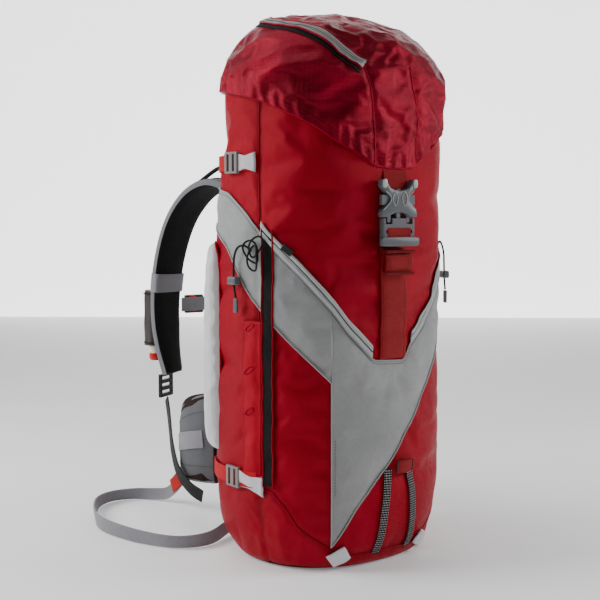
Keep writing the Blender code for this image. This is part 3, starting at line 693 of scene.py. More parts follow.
def simulate_cloth(item: bpy.types.Object, growth: float, pressure: float, cap: float,
                   bending: float = 0.05, frames: int = 20) -> None:
    """Run a short cloth simulation and keep its result, with capped moves.

    Args:
        item: the sheet or closed form to settle, with its sewn attribute.
        growth: share by which the fabric is cut larger than its form.
        pressure: push from inside.
        cap: furthest that any point may move.
        bending: stiffness against folding.
        frames: steps to run.
    """
    mesh = item.data
    held = mesh.attributes.get("sewn")
    weights = [0.0] * len(mesh.vertices)
    if held is not None:
        held.data.foreach_get("value", weights)
        mesh.attributes.remove(held)
    start = [vertex.co.copy() for vertex in mesh.vertices]
    group = item.vertex_groups.new(name="sewn")
    for index, weight in enumerate(weights):
        if weight > 0.0:
            group.add([index], weight, "REPLACE")
    modifier = item.modifiers.new("cloth", "CLOTH")
    settings = modifier.settings
    settings.quality = 5
    settings.mass = 0.15
    settings.tension_stiffness = settings.compression_stiffness = 18.0
    settings.shear_stiffness = 6.0
    settings.bending_stiffness = bending
    settings.vertex_group_mass = "sewn"
    settings.shrink_min = -growth
    settings.use_pressure = pressure > 0.0
    settings.uniform_pressure_force = pressure
    settings.effector_weights.gravity = 0.0
    modifier.collision_settings.use_collision = False
    scene = bpy.context.scene
    for frame in range(1, frames + 1):
        scene.frame_set(frame)
    settled = item.evaluated_get(bpy.context.evaluated_depsgraph_get()).data
    moves = [a.co - b for a, b in zip(settled.vertices, start)]
    item.modifiers.remove(modifier)
    item.vertex_groups.remove(group)
    scene.frame_set(1)
    for vertex, place, move in zip(mesh.vertices, start, moves):
        length = move.length
        if length > 1e-9:
            vertex.co = place + move * (cap * math.tanh(length / cap) / length)
    mesh.update()


class Cover:
    """A finished surface that other pieces are sewn onto."""

    def __init__(self, *items: bpy.types.Object) -> None:
        """Index the surface.

        Args:
            *items: the pieces that make the surface.
        """
        points, faces = [], []
        for item in items:
            base = len(points)
            points += [vertex.co.copy() for vertex in item.data.vertices]
            faces += [[base + i for i in face.vertices] for face in item.data.polygons]
        self.tree = BVHTree.FromPolygons(points, faces)

    def drop(self, place: Vector, inward: Vector, lift: float) -> Vector:
        """Drop a point onto the surface and lift it off again.

        Args:
            place: a point near the surface.
            inward: the direction into the surface.
            lift: final distance from it.

        Returns:
            The seated point.
        """
        hit = self.tree.ray_cast(place - inward * 0.03, inward, 0.07)
        return (hit[0] if hit[0] is not None else place) - inward * lift


def sweep(name: str, route: Sequence[Vector], faces: Sequence[Vector],
          outline: Sequence[tuple[float, float]], finish: Finish, body: str = "pack",
          scales: Sequence[tuple[float, float]] | None = None) -> bpy.types.Object:
    """Carry an outline along a route and close its ends.

    Args:
        name: the piece's name.
        route: points along its middle.
        faces: the direction that its face looks in, at each point.
        outline: its section as (across, out) in metres.
        finish: its material.
        body: the body that it rides on.
        scales: how much wider and thicker it is at each point.

    Returns:
        The new piece.
    """
    last = len(route) - 1
    walked, girth = [0.0], [0.0]
    for a, b in zip(route, route[1:]):
        walked.append(walked[-1] + (b - a).length)
    loop = list(outline) + [outline[0]]
    for a, b in zip(loop, loop[1:]):
        girth.append(girth[-1] + math.dist(a, b))
    rings = []
    for i, place in enumerate(route):
        ahead = heading(route, i).normalized()
        face = (faces[i] - ahead * faces[i].dot(ahead)).normalized()
        across = ahead.cross(face)
        wide, thick = scales[i] if scales else (1.0, 1.0)
        rings.append([place + across * x * wide + face * y * thick for x, y in outline])
    item = lattice(name, len(outline), last + 1, lambda i, j: rings[j][i],
                   lambda i, j: (girth[i], walked[j]), finish, body, wrap=True)
    edit(item, close, face_out)
    return crisp(item)


def web(width: float, thick: float) -> list[tuple[float, float]]:
    """Give the section of woven webbing.

    Args:
        width: its width.
        thick: its thickness.

    Returns:
        The outline as (across, out).
    """
    half = [(-0.5 * width, -0.2 * thick), (-0.5 * width, 0.2 * thick), (-0.48 * width, 0.5 * thick),
            (-0.2 * width, 0.5 * thick), (0.2 * width, 0.5 * thick), (0.48 * width, 0.5 * thick)]
    return half + [(-x, -y) for x, y in half]


def oval(across: float, up: float, x: float = 0.0, z: float = 0.0, count: int = 20,
         power: float = 2.0) -> list[tuple[float, float]]:
    """Give a rounded outline, an ellipse at power 2 and boxier above.

    Args:
        across: half its width.
        up: half its height.
        x: its middle across.
        z: its middle up.
        count: number of corners.
        power: how boxy it is.

    Returns:
        The outline as (across, up).
    """
    loop = []
    for i in range(count):
        angle = math.tau * (i + 0.5) / count
        c, s = math.cos(angle), math.sin(angle)
        loop.append((x + across * math.copysign(abs(c) ** (2.0 / power), c),
                     z + up * math.copysign(abs(s) ** (2.0 / power), s)))
    return loop


def tube(name: str, route: Sequence[Vector], radius: float, finish: Finish, body: str = "pack",
         closed: bool = False) -> bpy.types.Object:
    """Build a round cord, piping or wire along a route.

    Args:
        name: the piece's name.
        route: points along its middle.
        radius: its radius.
        finish: its material.
        body: the body that it rides on.
        closed: joins its end to its start.

    Returns:
        The new piece.
    """
    curve = bpy.data.curves.new(name, "CURVE")
    curve.dimensions = "3D"
    curve.bevel_depth = radius
    curve.bevel_resolution = 2
    curve.use_fill_caps = not closed
    spline = curve.splines.new("POLY")
    spline.points.add(len(route) - 1)
    spline.use_cyclic_u = closed
    for point, place in zip(spline.points, route):
        point.co = (*place, 1.0)
    item = bpy.data.objects.new(name, curve)
    bpy.context.scene.collection.objects.link(item)
    return dress(item, name, finish, body)


def plate(name: str, outline: Sequence[tuple[float, float]], depth: float, place: Matrix,
          finish: Finish, body: str = "pack", bevel: float = 0.0012,
          holes: Sequence[Sequence[tuple[float, float]]] = ()) -> bpy.types.Object:
    """Mould a plate: extrude its outline, cut its windows and round its edges.

    Args:
        name: the piece's name.
        outline: corners as (across, up).
        depth: thickness, from the plane outwards.
        place: frame with X across, -Y outwards and Z up.
        finish: its material.
        body: the body that it rides on.
        bevel: radius of its edges.
        holes: outlines cut through it.

    Returns:
        The new piece.
    """
    def solid(loop: Sequence[tuple[float, float]], low: float, high: float) -> bpy.types.Object:
        """Build one closed blank from an outline."""
        deselect()
        bpy.ops.mesh.primitive_circle_add(vertices=len(loop), radius=1.0, fill_type="NGON")
        blank = bpy.context.active_object
        for vertex, (x, z) in zip(blank.data.vertices, loop):
            vertex.co = (x, -low, z)
        edit(blank, lambda: bpy.ops.mesh.extrude_region_move(
            TRANSFORM_OT_translate={"value": (0.0, low - high, 0.0)}),
            lambda: bpy.ops.mesh.select_all(action="SELECT"), close, face_out)
        return blank

    item = solid(outline, 0.0, depth)
    for loop in holes:
        cutter = solid(loop, -0.01, depth + 0.01)
        apply_modifier(item, "BOOLEAN", object=cutter, solver="EXACT")
        bpy.data.objects.remove(cutter, do_unlink=True)
    apply_modifier(item, "BEVEL", width=bevel, segments=3, limit_method="ANGLE", angle_limit=0.6)
    item.data.transform(place)
    dress(item, name, finish, body)
    return crisp(item, 0.9)


class Stitcher:
    """Collects stitches and makes one piece of each colour and body."""

    def __init__(self) -> None:
        """Start with no stitches."""
        self.rows: dict[tuple[Finish, str], list[tuple[Vector, Vector]]] = {}

    def row(self, route: Sequence[Vector], finish: Finish, body: str = "pack",
            pitch: float = 0.0036) -> None:
        """Sew along a route.

        Args:
            route: dense points on the fabric.
            finish: the thread.
            body: the body that the fabric rides on.
            pitch: distance from one stitch to the next.
        """
        stitches = self.rows.setdefault((finish, body), [])
        spare, start = 0.0, route[0]
        for a, b in zip(route, route[1:]):
            length = (b - a).length
            while length > 1e-9 and spare + length >= pitch:
                share = (pitch - spare) / length
                a = a.lerp(b, share)
                stitches.append((start.copy(), start.lerp(a, 0.72)))
                start, spare, length = a.copy(), 0.0, (b - a).length
            spare += length

    def finish(self) -> None:
        """Turn every row into low beads."""
        for (finish, body), stitches in self.rows.items():
            points, faces = [], []
            for a, b in stitches:
                ahead = (b - a).normalized()
                side = ahead.orthogonal().normalized()
                other = ahead.cross(side)
                base = len(points)
                for place, size in ((a, 0.00012), (a.lerp(b, 0.3), 0.00034), (a.lerp(b, 0.7), 0.00034),
                                    (b, 0.00012)):
                    points += [place + (side * math.cos(t) + other * math.sin(t)) * size
                               for t in (0.0, 1.257, 2.513, 3.770, 5.027)]
                for j in range(3):
                    for i in range(5):
                        k = (i + 1) % 5
                        faces.append((base + 5 * j + i, base + 5 * j + k, base + 5 * j + 5 + k,
                                      base + 5 * j + 5 + i))
                faces += [tuple(base + i for i in range(4, -1, -1)), tuple(base + 15 + i for i in range(5))]
            mesh = bpy.data.meshes.new("stitches_" + finish.name + "_" + body)
            mesh.from_pydata(points, [], faces)
            item = bpy.data.objects.new(mesh.name, mesh)
            bpy.context.scene.collection.objects.link(item)
            dress(item, mesh.name, finish, body)


THREADS = Stitcher()


def crease(place: Vector, scale: float, seed: float = 0.0) -> float:
    """Give a smooth random height from -1 to 1."""
    return noise.noise(Vector((place.x * scale + seed, place.y * scale - seed, place.z * scale)))


# -------------------------------------------------------------------- bag
# Outlines on the skin as (bearing, height).
SEAM = ((0, 0.017), (23, 0.017), (38, 0.031), (52, 0.054), (58, 0.078), (66, 0.100), (180, 0.100))
WING_TOP = ((-118, 0.468), (-95, 0.458), (-80, 0.432), (-70, 0.405), (-52, 0.362), (-36, 0.318),
            (-28, 0.292), (-13, 0.257), (10, 0.254), (13, 0.272), (28, 0.298), (36, 0.318),
            (52, 0.362), (70, 0.405), (80, 0.432), (95, 0.458), (118, 0.468))
WING_LEFT_LOW = ((-118, 0.425), (-95, 0.390), (-79, 0.336), (-66, 0.304), (-52, 0.270), (-36, 0.232))
WING_RIGHT_LOW = ((-36, 0.030), (-22, 0.080), (-10, 0.110), (0, 0.132), (9, 0.158), (19, 0.184),
                  (28, 0.214), (40, 0.245), (54, 0.276), (70, 0.311), (80, 0.337), (95, 0.390),
                  (118, 0.425))
SIDE_SEAM = 73.0


def near(value: float, width: float) -> float:
    """Give 1 at zero, falling smoothly to 0 over a width."""
    return math.exp(-(value / width) ** 2)


@dataclass
class Surface:
    """A fabric surface that seams, straps and tapes are laid on.

    Attributes:
        cover: the finished surface, once it is built.
    """

    cover: Cover | None = None

    def place(self, theta: float, z: float, lift: float = 0.0) -> Vector:
        """Give a point of the ideal surface at a bearing and a height."""
        return FORM.skin(theta, z, lift)

    def outwards(self, theta: float, z: float) -> Vector:
        """Give the direction straight out of the ideal surface."""
        return FORM.outwards(theta, z)

    def seat(self, theta: float, z: float, lift: float) -> Vector:
        """Put a point on the finished surface."""
        return self.cover.drop(self.place(theta, z), -self.outwards(theta, z), lift)

    def run(self, stops: Sequence[tuple[float, float]], lift: float, step: float = 0.004) -> list[Vector]:
        """Lay a route over the finished surface.

        Args:
            stops: its corners as (bearing, height).
            lift: its distance from the surface.
            step: the spacing of its points.

        Returns:
            The points of the route.
        """
        route = []
        for (t0, z0), (t1, z1) in zip(stops, stops[1:]):
            length = (self.place(t1, z1) - self.place(t0, z0)).length
            count = max(1, int(length / step))
            route += [self.seat(t0 + (t1 - t0) * k / count, z0 + (z1 - z0) * k / count, lift)
                      for k in range(count)]
        return route + [self.seat(*stops[-1], lift)]


@dataclass
class Bag(Surface):
    """The stuffed bag, its boot and everything that is sewn onto it.

    Attributes:
        columns: columns of cloth round the bag.
        rows: rows of cloth from the base to the rim.
    """

    columns: int = 208
    rows: int = 104

    # The body -------------------------------------------------------------
    def _sewn(self, theta: float, z: float) -> float:
        """Say how firmly the skin is held at a bearing and a height.

        Args:
            theta: bearing in degrees.
            z: height.

        Returns:
            From 0, free, to 1, sewn down.
        """
        arc = FORM.arc(theta)
        held = near(abs(arc) - FORM.arc(SIDE_SEAM), 0.004)
        held = max(held, near(z - between(SEAM, abs(theta)), 0.004), near(z - FORM.rim_z, 0.006))
        held = max(held, near(z - eased(WING_TOP, theta), 0.005) * (abs(theta) < 118))
        low = between(WING_LEFT_LOW, theta) if theta < -36 else between(WING_RIGHT_LOW, theta)
        held = max(held, near(z - low, 0.005) * (abs(theta) < 118))
        if 0.03 < z < 0.232:
            held = max(held, near(arc - FORM.arc(-36.0), 0.004))
        if z < 0.004 or abs(theta) > 128:
            held = 1.0
        return min(1.0, held)

    def _swell(self, theta: float, z: float) -> float:
        """Give the relief: puckers at seams, crowned panels, dents.

        Args:
            theta: bearing in degrees.
            z: height.

        Returns:
            The rise out of the skin.
        """
        place = FORM.skin(theta, z)
        arc = FORM.arc(theta)
        side = abs(arc) - FORM.arc(SIDE_SEAM)
        rise = -0.0022 * near(side, 0.0035)
        rise -= 0.0016 * near(z - between(SEAM, abs(theta)), 0.0035)
        pucker = crease(Vector((arc * 0.16, 0.0, z)), 62.0) * near(side, 0.020)
        pucker += crease(Vector((arc, 0.0, z * 0.2)), 55.0, 3.0) * near(z - between(SEAM, abs(theta)), 0.020)
        pucker += crease(Vector((arc, 0.0, z * 0.3)), 46.0, 9.0) * near(z - 0.545, 0.035) * 1.2
        rise += 0.0011 * pucker
        rise += 0.0022 * crease(place, 9.0, 5.0) + 0.0009 * crease(place, 24.0, 2.0)
        if abs(theta) > 125:
            rise *= 0.25
        return rise

    def build(self) -> None:
        """Build the bag and dress it."""
        heights = [0.0022 + (FORM.rim_z - 0.0022) * (j / (self.rows - 1)) for j in range(self.rows)]
        bearings = [-180.0 + 360.0 * i / self.columns for i in range(self.columns + 1)]
        arcs = [FORM.arc(theta) for theta in bearings]

        def place(i: int, j: int) -> Vector:
            """Place one point of the sheet."""
            theta, z = bearings[i], heights[j]
            point = FORM.skin(theta, z)
            return point + FORM.outwards(theta, z) * self._swell(theta, z)

        body = lattice("bag_body", self.columns, self.rows, place,
                       lambda i, j: (arcs[i], heights[j]), BAG_RED, wrap=True,
                       pin=lambda i, j: self._sewn(bearings[i], heights[j]))
        simulate_cloth(body, 0.022, 1.6, 0.0042, bending=0.12)
        refine(body)
        set_tone(body, self._shade)
        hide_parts("main_bag", "base_boot")
        self.cover = Cover(body)
        self._sole(heights[0])
        self._lining()
        self._seams()
        self._wing()
        self._zip_band()
        self._gussets()
        self._front_bands()

    def _shade(self, place: Vector) -> float:
        """Darken the fabric along its seams, with soft blotches.

        Args:
            place: a point of the body.

        Returns:
            The lean to the deep colour.
        """
        theta = bearing_of(place)
        z = place.z
        side = abs(FORM.arc(theta)) - FORM.arc(SIDE_SEAM)
        dark = 0.35 * near(side, 0.005) + 0.3 * near(z - between(SEAM, abs(theta)), 0.006)
        return dark + 0.12 * crease(place, 14.0, 7.0)

    def _sole(self, z: float) -> None:
        """Close the base with a coated sole."""
        shares = (1.0, 0.97, 0.9, 0.75, 0.55, 0.35, 0.15, 0.02)

        def place(i: int, j: int) -> Vector:
            """Place one point of the sheet."""
            point = FORM.skin(-180.0 + 5.0 * i, z, 0.0)
            share = shares[j]
            return Vector((point.x * share, point.y * share, z if j == 0 else 0.0006))

        sole = lattice("base_sole", 72, len(shares), place,
                       lambda i, j: (i * 0.01, shares[j] * 0.12), FRAME_PLASTIC, wrap=True)
        sole.data.flip_normals()

    def _lining(self) -> None:
        """Line the inside, which shows when the lid is open."""
        heights = [FORM.rim_z, 0.56, 0.45, 0.34, 0.22, 0.12, 0.06, 0.03, 0.017]
        shares = [1.0] * len(heights) + [0.7, 0.3, 0.02]
        heights = heights + [0.0165] * 3

        def place(i: int, j: int) -> Vector:
            """Place one point of the sheet."""
            point = FORM.skin(-180.0 + 5.0 * i, heights[j], -0.0022 if j == 0 else -0.0062)
            return Vector((point.x * shares[j], point.y * shares[j], heights[j]))

        lining = lattice("bag_lining", 72, len(heights), place,
                         lambda i, j: (i * 0.0095, heights[j]), LINING, wrap=True)
        rim = [FORM.skin(-180.0 + 4.0 * i, FORM.rim_z - 0.001, -0.0012) for i in range(90)]
        tube("rim_binding", rim, 0.0018, BLACK_WEB, closed=True)

    def _seams(self) -> None:
        """Sew the side seams and the base seam."""
        for _, side in SIDES:
            for shift in (-0.9, 1.1):
                theta = side * (SIDE_SEAM + shift)
                THREADS.row(self.run(((theta, 0.108), (theta, 0.575)), 0.0001), THREAD_RED)
            tube("side_welt_%d" % side, self.run(((side * SIDE_SEAM, 0.102), (side * SIDE_SEAM, 0.590)),
                                                 0.0002), 0.0009, BAG_RED)
        stops = [(theta, between(SEAM, abs(theta))) for theta in range(-128, 129, 3)]
        tube("base_welt", self.run(stops, 0.0003), 0.0010, BAG_RED)
        for shift in (0.0035, -0.0035):
            THREADS.row(self.run([(t, z + shift) for t, z in stops], 0.0001), THREAD_RED)

    # Grey panel -----------------------------------------------------------
    def _wing(self) -> None:
        """Lay the grey panel in two sheets that meet at its vertical edge."""
        spans = (("wing_panel_left", -118.0, -36.0, WING_LEFT_LOW),
                 ("wing_panel_front", -36.0, 118.0, WING_RIGHT_LOW))
        for name, first, last, low in spans:
            count = int((last - first) / 1.0) + 1
            bearings = [first + (last - first) * i / (count - 1) for i in range(count)]
            rows = 40

            def place(i: int, j: int) -> Vector:
                """Place one point of the sheet."""
                theta = bearings[i]
                bottom = eased(low, theta) if first + 4 < theta < last - 4 else between(low, theta)
                top = eased(WING_TOP, theta, 2.0)
                z = bottom + (top - bottom) * j / (rows - 1)
                edge = min(j, rows - 1 - j) / (rows - 1) * (top - bottom)
                lift = 0.0013 + 0.0010 * (1.0 - near(edge, 0.010)) + self._radial(theta, z)
                return self.seat(theta, z, lift)

            def chart(i: int, j: int) -> tuple[float, float]:
                """Chart one point of the sheet in metres."""
                theta = bearings[i]
                bottom, top = between(low, theta), between(WING_TOP, theta)
                return FORM.arc(theta), bottom + (top - bottom) * j / (rows - 1)

            sheet = lattice(name, count, rows, place, chart, GREY)
            thicken(sheet, 0.0011)
            set_tone(sheet, self._wing_shade)
        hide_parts("front_wing_panel")
        left_low = [(t, eased(WING_LEFT_LOW, t)) for t in range(-116, -36, 2)] + [(-36.0, 0.232)]
        edges = {"left": left_low,
                 "upright": [(-36.0, 0.232), (-36.0, 0.160), (-36.0, 0.090), (-36.0, 0.031)],
                 "right": [(-36.0, 0.031)] + [(t, eased(WING_RIGHT_LOW, t, 2.0)) for t in range(-33, 117, 2)],
                 "top": [(t, eased(WING_TOP, t, 2.0)) for t in range(-116, 117, 2)]}
        for name, stops in edges.items():
            tube("wing_piping_" + name, self.run(stops, 0.0018), 0.0009, PIPING)
            inner = 0.0040 if name != "top" else -0.0040
            shift = 1.6 if name == "upright" else 0.0
            THREADS.row(self.run([(t + shift, z + inner) for t, z in stops[1:-1]], 0.0026), THREAD_DARK)

    @staticmethod
    def _radial(theta: float, z: float) -> float:
        """Crease the panel out of its notch and along its seams.

        Args:
            theta: bearing in degrees.
            z: height.

        Returns:
            The rise of the crease.
        """
        dx, dz = FORM.arc(theta), z - 0.250
        away = math.hypot(dx, dz)
        angle = math.atan2(dx, -dz)
        fan = math.sin(angle * 9.0 + 4.0 * noise.noise(Vector((angle * 2.0, 0.0, 1.0))))
        rays = 0.0004 * fan * near(away - 0.035, 0.028)
        folds = 0.0008 * noise.noise(Vector((dx * 34.0, dz * 12.0, 4.0)))
        return max(-0.0006, rays + folds)

    @staticmethod
    def _wing_shade(place: Vector) -> float:
        """Shade the panel in its creases."""
        theta = bearing_of(place)
        return 0.25 - 260.0 * Bag._radial(theta, place.z) * 0.5

    def _zip_band(self) -> None:
        """Lay the slanting zips along the panel's upper edge."""
        for name, side in SIDES:
            first, last = 71.0, 14.0
            count = 70
            bearings = [first + (last - first) * i / (count - 1) for i in range(count)]

            def edge(theta: float) -> float:
                """Give the height of the panel's upper edge."""
                return eased(WING_TOP, side * theta, 2.0)

            def place(i: int, j: int) -> Vector:
                """Place one point of the sheet."""
                theta = bearings[i]
                z = edge(theta) + 0.0005 + 0.0155 * j / 6
                dip = 0.0012 if j == 3 else 0.0
                return self.seat(side * theta, z, 0.0024 - dip)

            band = lattice("zip_band_" + name, count, 7, place,
                           lambda i, j: (0.0026 * j, FORM.arc(bearings[i])), ZIP_TAPE)
            if side < 0:
                band.data.flip_normals()
            thicken(band, 0.0010)
            stops = [(side * t, edge(t) + 0.0083) for t in bearings]
            tube("zip_coil_" + name, self.run(stops, 0.0021), 0.0008, BLACK_AND_GAP_SHADE)
            for shift in (0.0036, 0.0128):
                THREADS.row(self.run([(side * t, edge(t) + shift) for t in bearings], 0.0026), THREAD_DARK)

    # Side and front details -------------------------------------------------
    def _strip(self, name: str, left: float, right: float, low: float, high: float, lift: float,
               thick: float, finish: Finish, columns: int = 12, rows: int = 40,
               crown: float = 0.0) -> bpy.types.Object:
        """Lay a straight-edged strip of fabric on the body.

        Args:
            name: the piece's name.
            left: bearing of its left edge.
            right: bearing of its right edge.
            low: height of its foot.
            high: height of its head.
            lift: distance from the body.
            thick: its thickness.
            finish: its material.
            columns: columns of cloth.
            rows: rows of cloth.
            crown: how far its middle stands out.

        Returns:
            The new piece.
        """
        def place(i: int, j: int) -> Vector:
            """Place one point of the sheet."""
            theta = left + (right - left) * i / (columns - 1)
            z = low + (high - low) * j / (rows - 1)
            middle = 1.0 - (2.0 * i / (columns - 1) - 1.0) ** 2
            return self.seat(theta, z, lift + crown * middle)

        item = lattice(name, columns, rows, place,
                       lambda i, j: (FORM.arc(left + (right - left) * i / (columns - 1)),
                                     low + (high - low) * j / (rows - 1)), finish)
        return thicken(item, thick)

    def _gussets(self) -> None:
        """Lay the bright side strips, their loops and, beside them, black strips that paint the shadow in the
        deep side folds.
        """
        for name, side in SIDES:
            ends = sorted((side * 71.2, side * 82.5))
            strip = self._strip("gusset_" + name, *ends, 0.112, 0.304, 0.0018, 0.0012, GUSSET,
                                crown=0.0012)
            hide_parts("side_gusset_" + name)
            for edge in (72.0, 81.8):
                THREADS.row(self.run(((side * edge, 0.112), (side * edge, 0.304)), 0.0025), THREAD_RED)
            # Painted shade: a flat black strip laid over the skin stands in for the shadow inside the deep
            # fold beside the gusset.
            ends = sorted((side * 64.6, side * 69.8))
            self._strip("side_gap_" + name, *ends, 0.106, 0.412, 0.0030, 0.0012, BLACK_AND_GAP_SHADE, columns=8)
            for edge in (64.4, 70.2):
                tube("gap_lip_%s_%d" % (name, edge), self.run(((side * edge, 0.104), (side * edge, 0.414)),
                                                              0.0030), 0.0013, BAG_RED)
            for i, z in enumerate((0.296, 0.244, 0.194)):
                ring = []
                for k in range(20):
                    x, y = 0.0068 * math.cos(math.tau * k / 20), 0.0026 * math.sin(math.tau * k / 20)
                    ring.append(self.seat(side * (78.0 + (x * 0.75 + y * 0.66) / DEGREE),
                                          z - x * 0.66 + y * 0.75, 0.0026))
                tube("gusset_loop_%s_%d" % (name, i), ring, 0.0009, BAG_RED, closed=True)
                for shift in (-0.0046, 0.0046):
                    slant = ((side * 75.0, z + 0.0052 + shift), (side * 80.8, z - 0.0052 + shift))
                    THREADS.row(self.run(slant, 0.0026), THREAD_RED, pitch=0.0022)

    def _front_bands(self) -> None:
        """Lay the dotted bands, the tool loop and the loops at the base."""
        bands = {"left": ((-7.2, 0.016), (-2.2, 0.122)), "right": ((19.6, 0.016), (14.4, 0.114))}
        for name, (foot, head) in bands.items():
            route = self.run((foot, head), 0.0022, 0.003)
            faces = [FORM.outwards(foot[0], point.z) for point in route]
            band = sweep("tool_band_" + name + "_web", route, faces, web(0.0104, 0.0016), DOTTED)
            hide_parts("tool_band_" + name)
        loop = self._strip("tool_loop_web", 2.6, 14.6, 0.1150, 0.1315, 0.0055, 0.0018, RED_WEB, 14, 10,
                           crown=0.0028)
        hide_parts("tool_loop")
        for edge in (3.2, 14.0):
            tube("tool_bartack_%d" % edge, self.run(((edge, 0.1160), (edge, 0.1305)), 0.0062), 0.0010,
                 THREAD_DARK)
        for name, side in SIDES:
            tilt = math.radians(30.0 * side)

            def place(i: int, j: int) -> Vector:
                """Place one point of the sheet."""
                a, b = (2.0 * i / 11 - 1.0) * 0.0125, (2.0 * j / 9 - 1.0) * 0.0095
                x, z = a * math.cos(tilt) + b * math.sin(tilt), b * math.cos(tilt) - a * math.sin(tilt)
                lift = 0.0046 + 0.0016 * (1.0 - (a / 0.0125) ** 2)
                return self.seat(side * 32.0 + x / DEGREE, 0.0180 + z, lift)

            tab = lattice("base_loop_web_" + name, 12, 10, place,
                          lambda i, j: (0.002 * j, 0.002 * i), WHITE_WEB)
            thicken(tab, 0.0018)
            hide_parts("base_loop_" + name)


# -------------------------------------------------------------------- lid
@dataclass
class Lid(Surface):
    """The crinkled lid, its tongue, its zip and its lining."""

    columns: int = 192
    rows: int = 92
    skirt: float = 0.30
    hem: tuple = ((0, 0.487), (14, 0.489), (17, 0.495), (22, 0.503), (33, 0.516), (46, 0.538),
                  (56, 0.550), (68, 0.564), (76, 0.570), (98, 0.582), (120, 0.584), (180, 0.584))
    tongue: tuple = (((-20, 0.606), (-17, 0.584), (-14, 0.550), (-13.5, 0.488)),
                     ((10, 0.608), (13, 0.580), (16, 0.546), (16, 0.492)))
    zip_line: tuple = ((-20, 0.606, 0), (-42, 0.640, 0), (-62, 0.655, 0), (-82, 0.671, 0), (-97, 0.684, 0))

    def place(self, theta: float, z: float, lift: float = 0.0) -> Vector:
        """Give a point of the lid at a bearing and a height."""
        if z <= FORM.rim_z:
            return FORM.skin(theta, z, FORM.lid_lift + lift)
        sine = min(0.99999, (z - FORM.rim_z) / (FORM.top_z - FORM.rim_z))
        return FORM.dome(theta, math.sqrt(1.0 - sine * sine), lift)

    def outwards(self, theta: float, z: float) -> Vector:
        """Give the direction straight out of the lid."""
        along = self.place(theta + 0.5, z) - self.place(theta - 0.5, z)
        up = self.place(theta, z + 0.0004) - self.place(theta, z - 0.0004)
        return along.cross(up).normalized()

    def _cell(self, theta: float, share: float) -> tuple[float, float, float]:
        """Turn a share of the way up into (height, dome share, walked length).

        Args:
            theta: bearing in degrees.
            share: share of the way from the hem to the top.

        Returns:
            The three values.
        """
        low = eased(self.hem, abs(theta))
        if share <= self.skirt:
            z = low + (FORM.rim_z - low) * share / self.skirt
            return z, 1.0, z
        angle = (share - self.skirt) / (1.0 - self.skirt) * math.radians(89.3)
        z = FORM.rim_z + (FORM.top_z - FORM.rim_z) * math.sin(angle)
        return z, math.cos(angle), FORM.rim_z + 0.13 * angle

    def _tongue_gaps(self, theta: float, z: float) -> list[float]:
        """Give the distance round the lid to each side seam of the tongue."""
        seams = [between([(z0, t0) for t0, z0 in reversed(stops)], z) for stops in self.tongue]
        return [FORM.arc(theta) - FORM.arc(seam) for seam in seams]

    def _folds(self, place: Vector, theta: float, z: float) -> float:
        """Give the creases of the slack fabric.

        Args:
            place: a point of the ideal lid.
            theta: bearing in degrees.
            z: height.

        Returns:
            The rise of the creases.
        """
        long = 1.0 - 3.2 * abs(crease(Vector((place.x * 0.75, place.y * 0.75, place.z * 1.5)), 17.0, 3.0))
        short = 1.0 - 3.0 * abs(crease(Vector((place.x, place.y, place.z * 1.4)), 41.0, 8.0))
        tiny = crease(place, 95.0, 1.0)
        rise = 0.0008 + 0.0022 * long + 0.0010 * short + 0.0003 * tiny
        low = eased(self.hem, abs(theta))
        gather = math.sin(FORM.arc(theta) * 420.0 + 5.0 * crease(place, 12.0))
        rise += 0.0013 * gather * near(z - low - 0.006, 0.012)
        for gap in self._tongue_gaps(theta, z):
            rise -= 0.0024 * near(gap, 0.004) * (z < 0.606)
        return rise

    def _sewn(self, theta: float, share: float) -> float:
        """Say how firmly the lid is held.

        Args:
            theta: bearing in degrees.
            share: share of the way from the hem to the top.

        Returns:
            From 0, free, to 1, sewn down.
        """
        z, dome_share, _ = self._cell(theta, share)
        held = near(share, 0.03)
        for gap in self._tongue_gaps(theta, z):
            held = max(held, near(gap, 0.004) * (z < 0.608))
        return 1.0 if dome_share < 0.06 else min(1.0, held)

    def build(self) -> None:
        """Build the lid and dress it."""
        bearings = [-180.0 + 360.0 * i / self.columns for i in range(self.columns + 1)]
        arcs = [FORM.arc(theta) for theta in bearings]
        cells = [[self._cell(theta, j / (self.rows - 1)) for j in range(self.rows)] for theta in bearings]

        def place(i: int, j: int) -> Vector:
            """Place one point of the sheet."""
            z, share, _ = cells[i][j]
            point = FORM.dome(bearings[i], share) if share < 1.0 else self.place(bearings[i], z)
            calm = min(1.0, share / 0.15)
            out = self.outwards(bearings[i], z) if share > 0.1 else UP
            return point + out * self._folds(point, bearings[i], z) * calm

        shell = lattice("lid_fabric", self.columns, self.rows, place,
                        lambda i, j: (arcs[i] * max(cells[i][j][1], 0.3), cells[i][j][2]), LID_RED, "lid",
                        wrap=True, pin=lambda i, j: self._sewn(bearings[i], j / (self.rows - 1)))
        simulate_cloth(shell, 0.035, 0.6, 0.0050, bending=0.04)
        self._close_top(shell)
        refine(shell)
        self.cover = Cover(shell)
        set_tone(shell, lambda p: 0.28 + 0.3 * crease(p, 30.0, 4.0))
        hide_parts("lid_shell")
        self._lining()
        self._trim()
        self._zip()
        self._strap()
        self._hinge()

    @staticmethod
    def _close_top(shell: bpy.types.Object) -> None:
        """Close the small ring at the pole."""
        top = max(vertex.co.z for vertex in shell.data.vertices)
        bm = bmesh.new()
        bm.from_mesh(shell.data)
        ring = [e for e in bm.edges if e.is_boundary and e.verts[0].co.z > top - 0.02]
        bmesh.ops.holes_fill(bm, edges=ring, sides=0)
        bm.to_mesh(shell.data)
        bm.free()
        shell.data.polygons.foreach_set("use_smooth", [True] * len(shell.data.polygons))

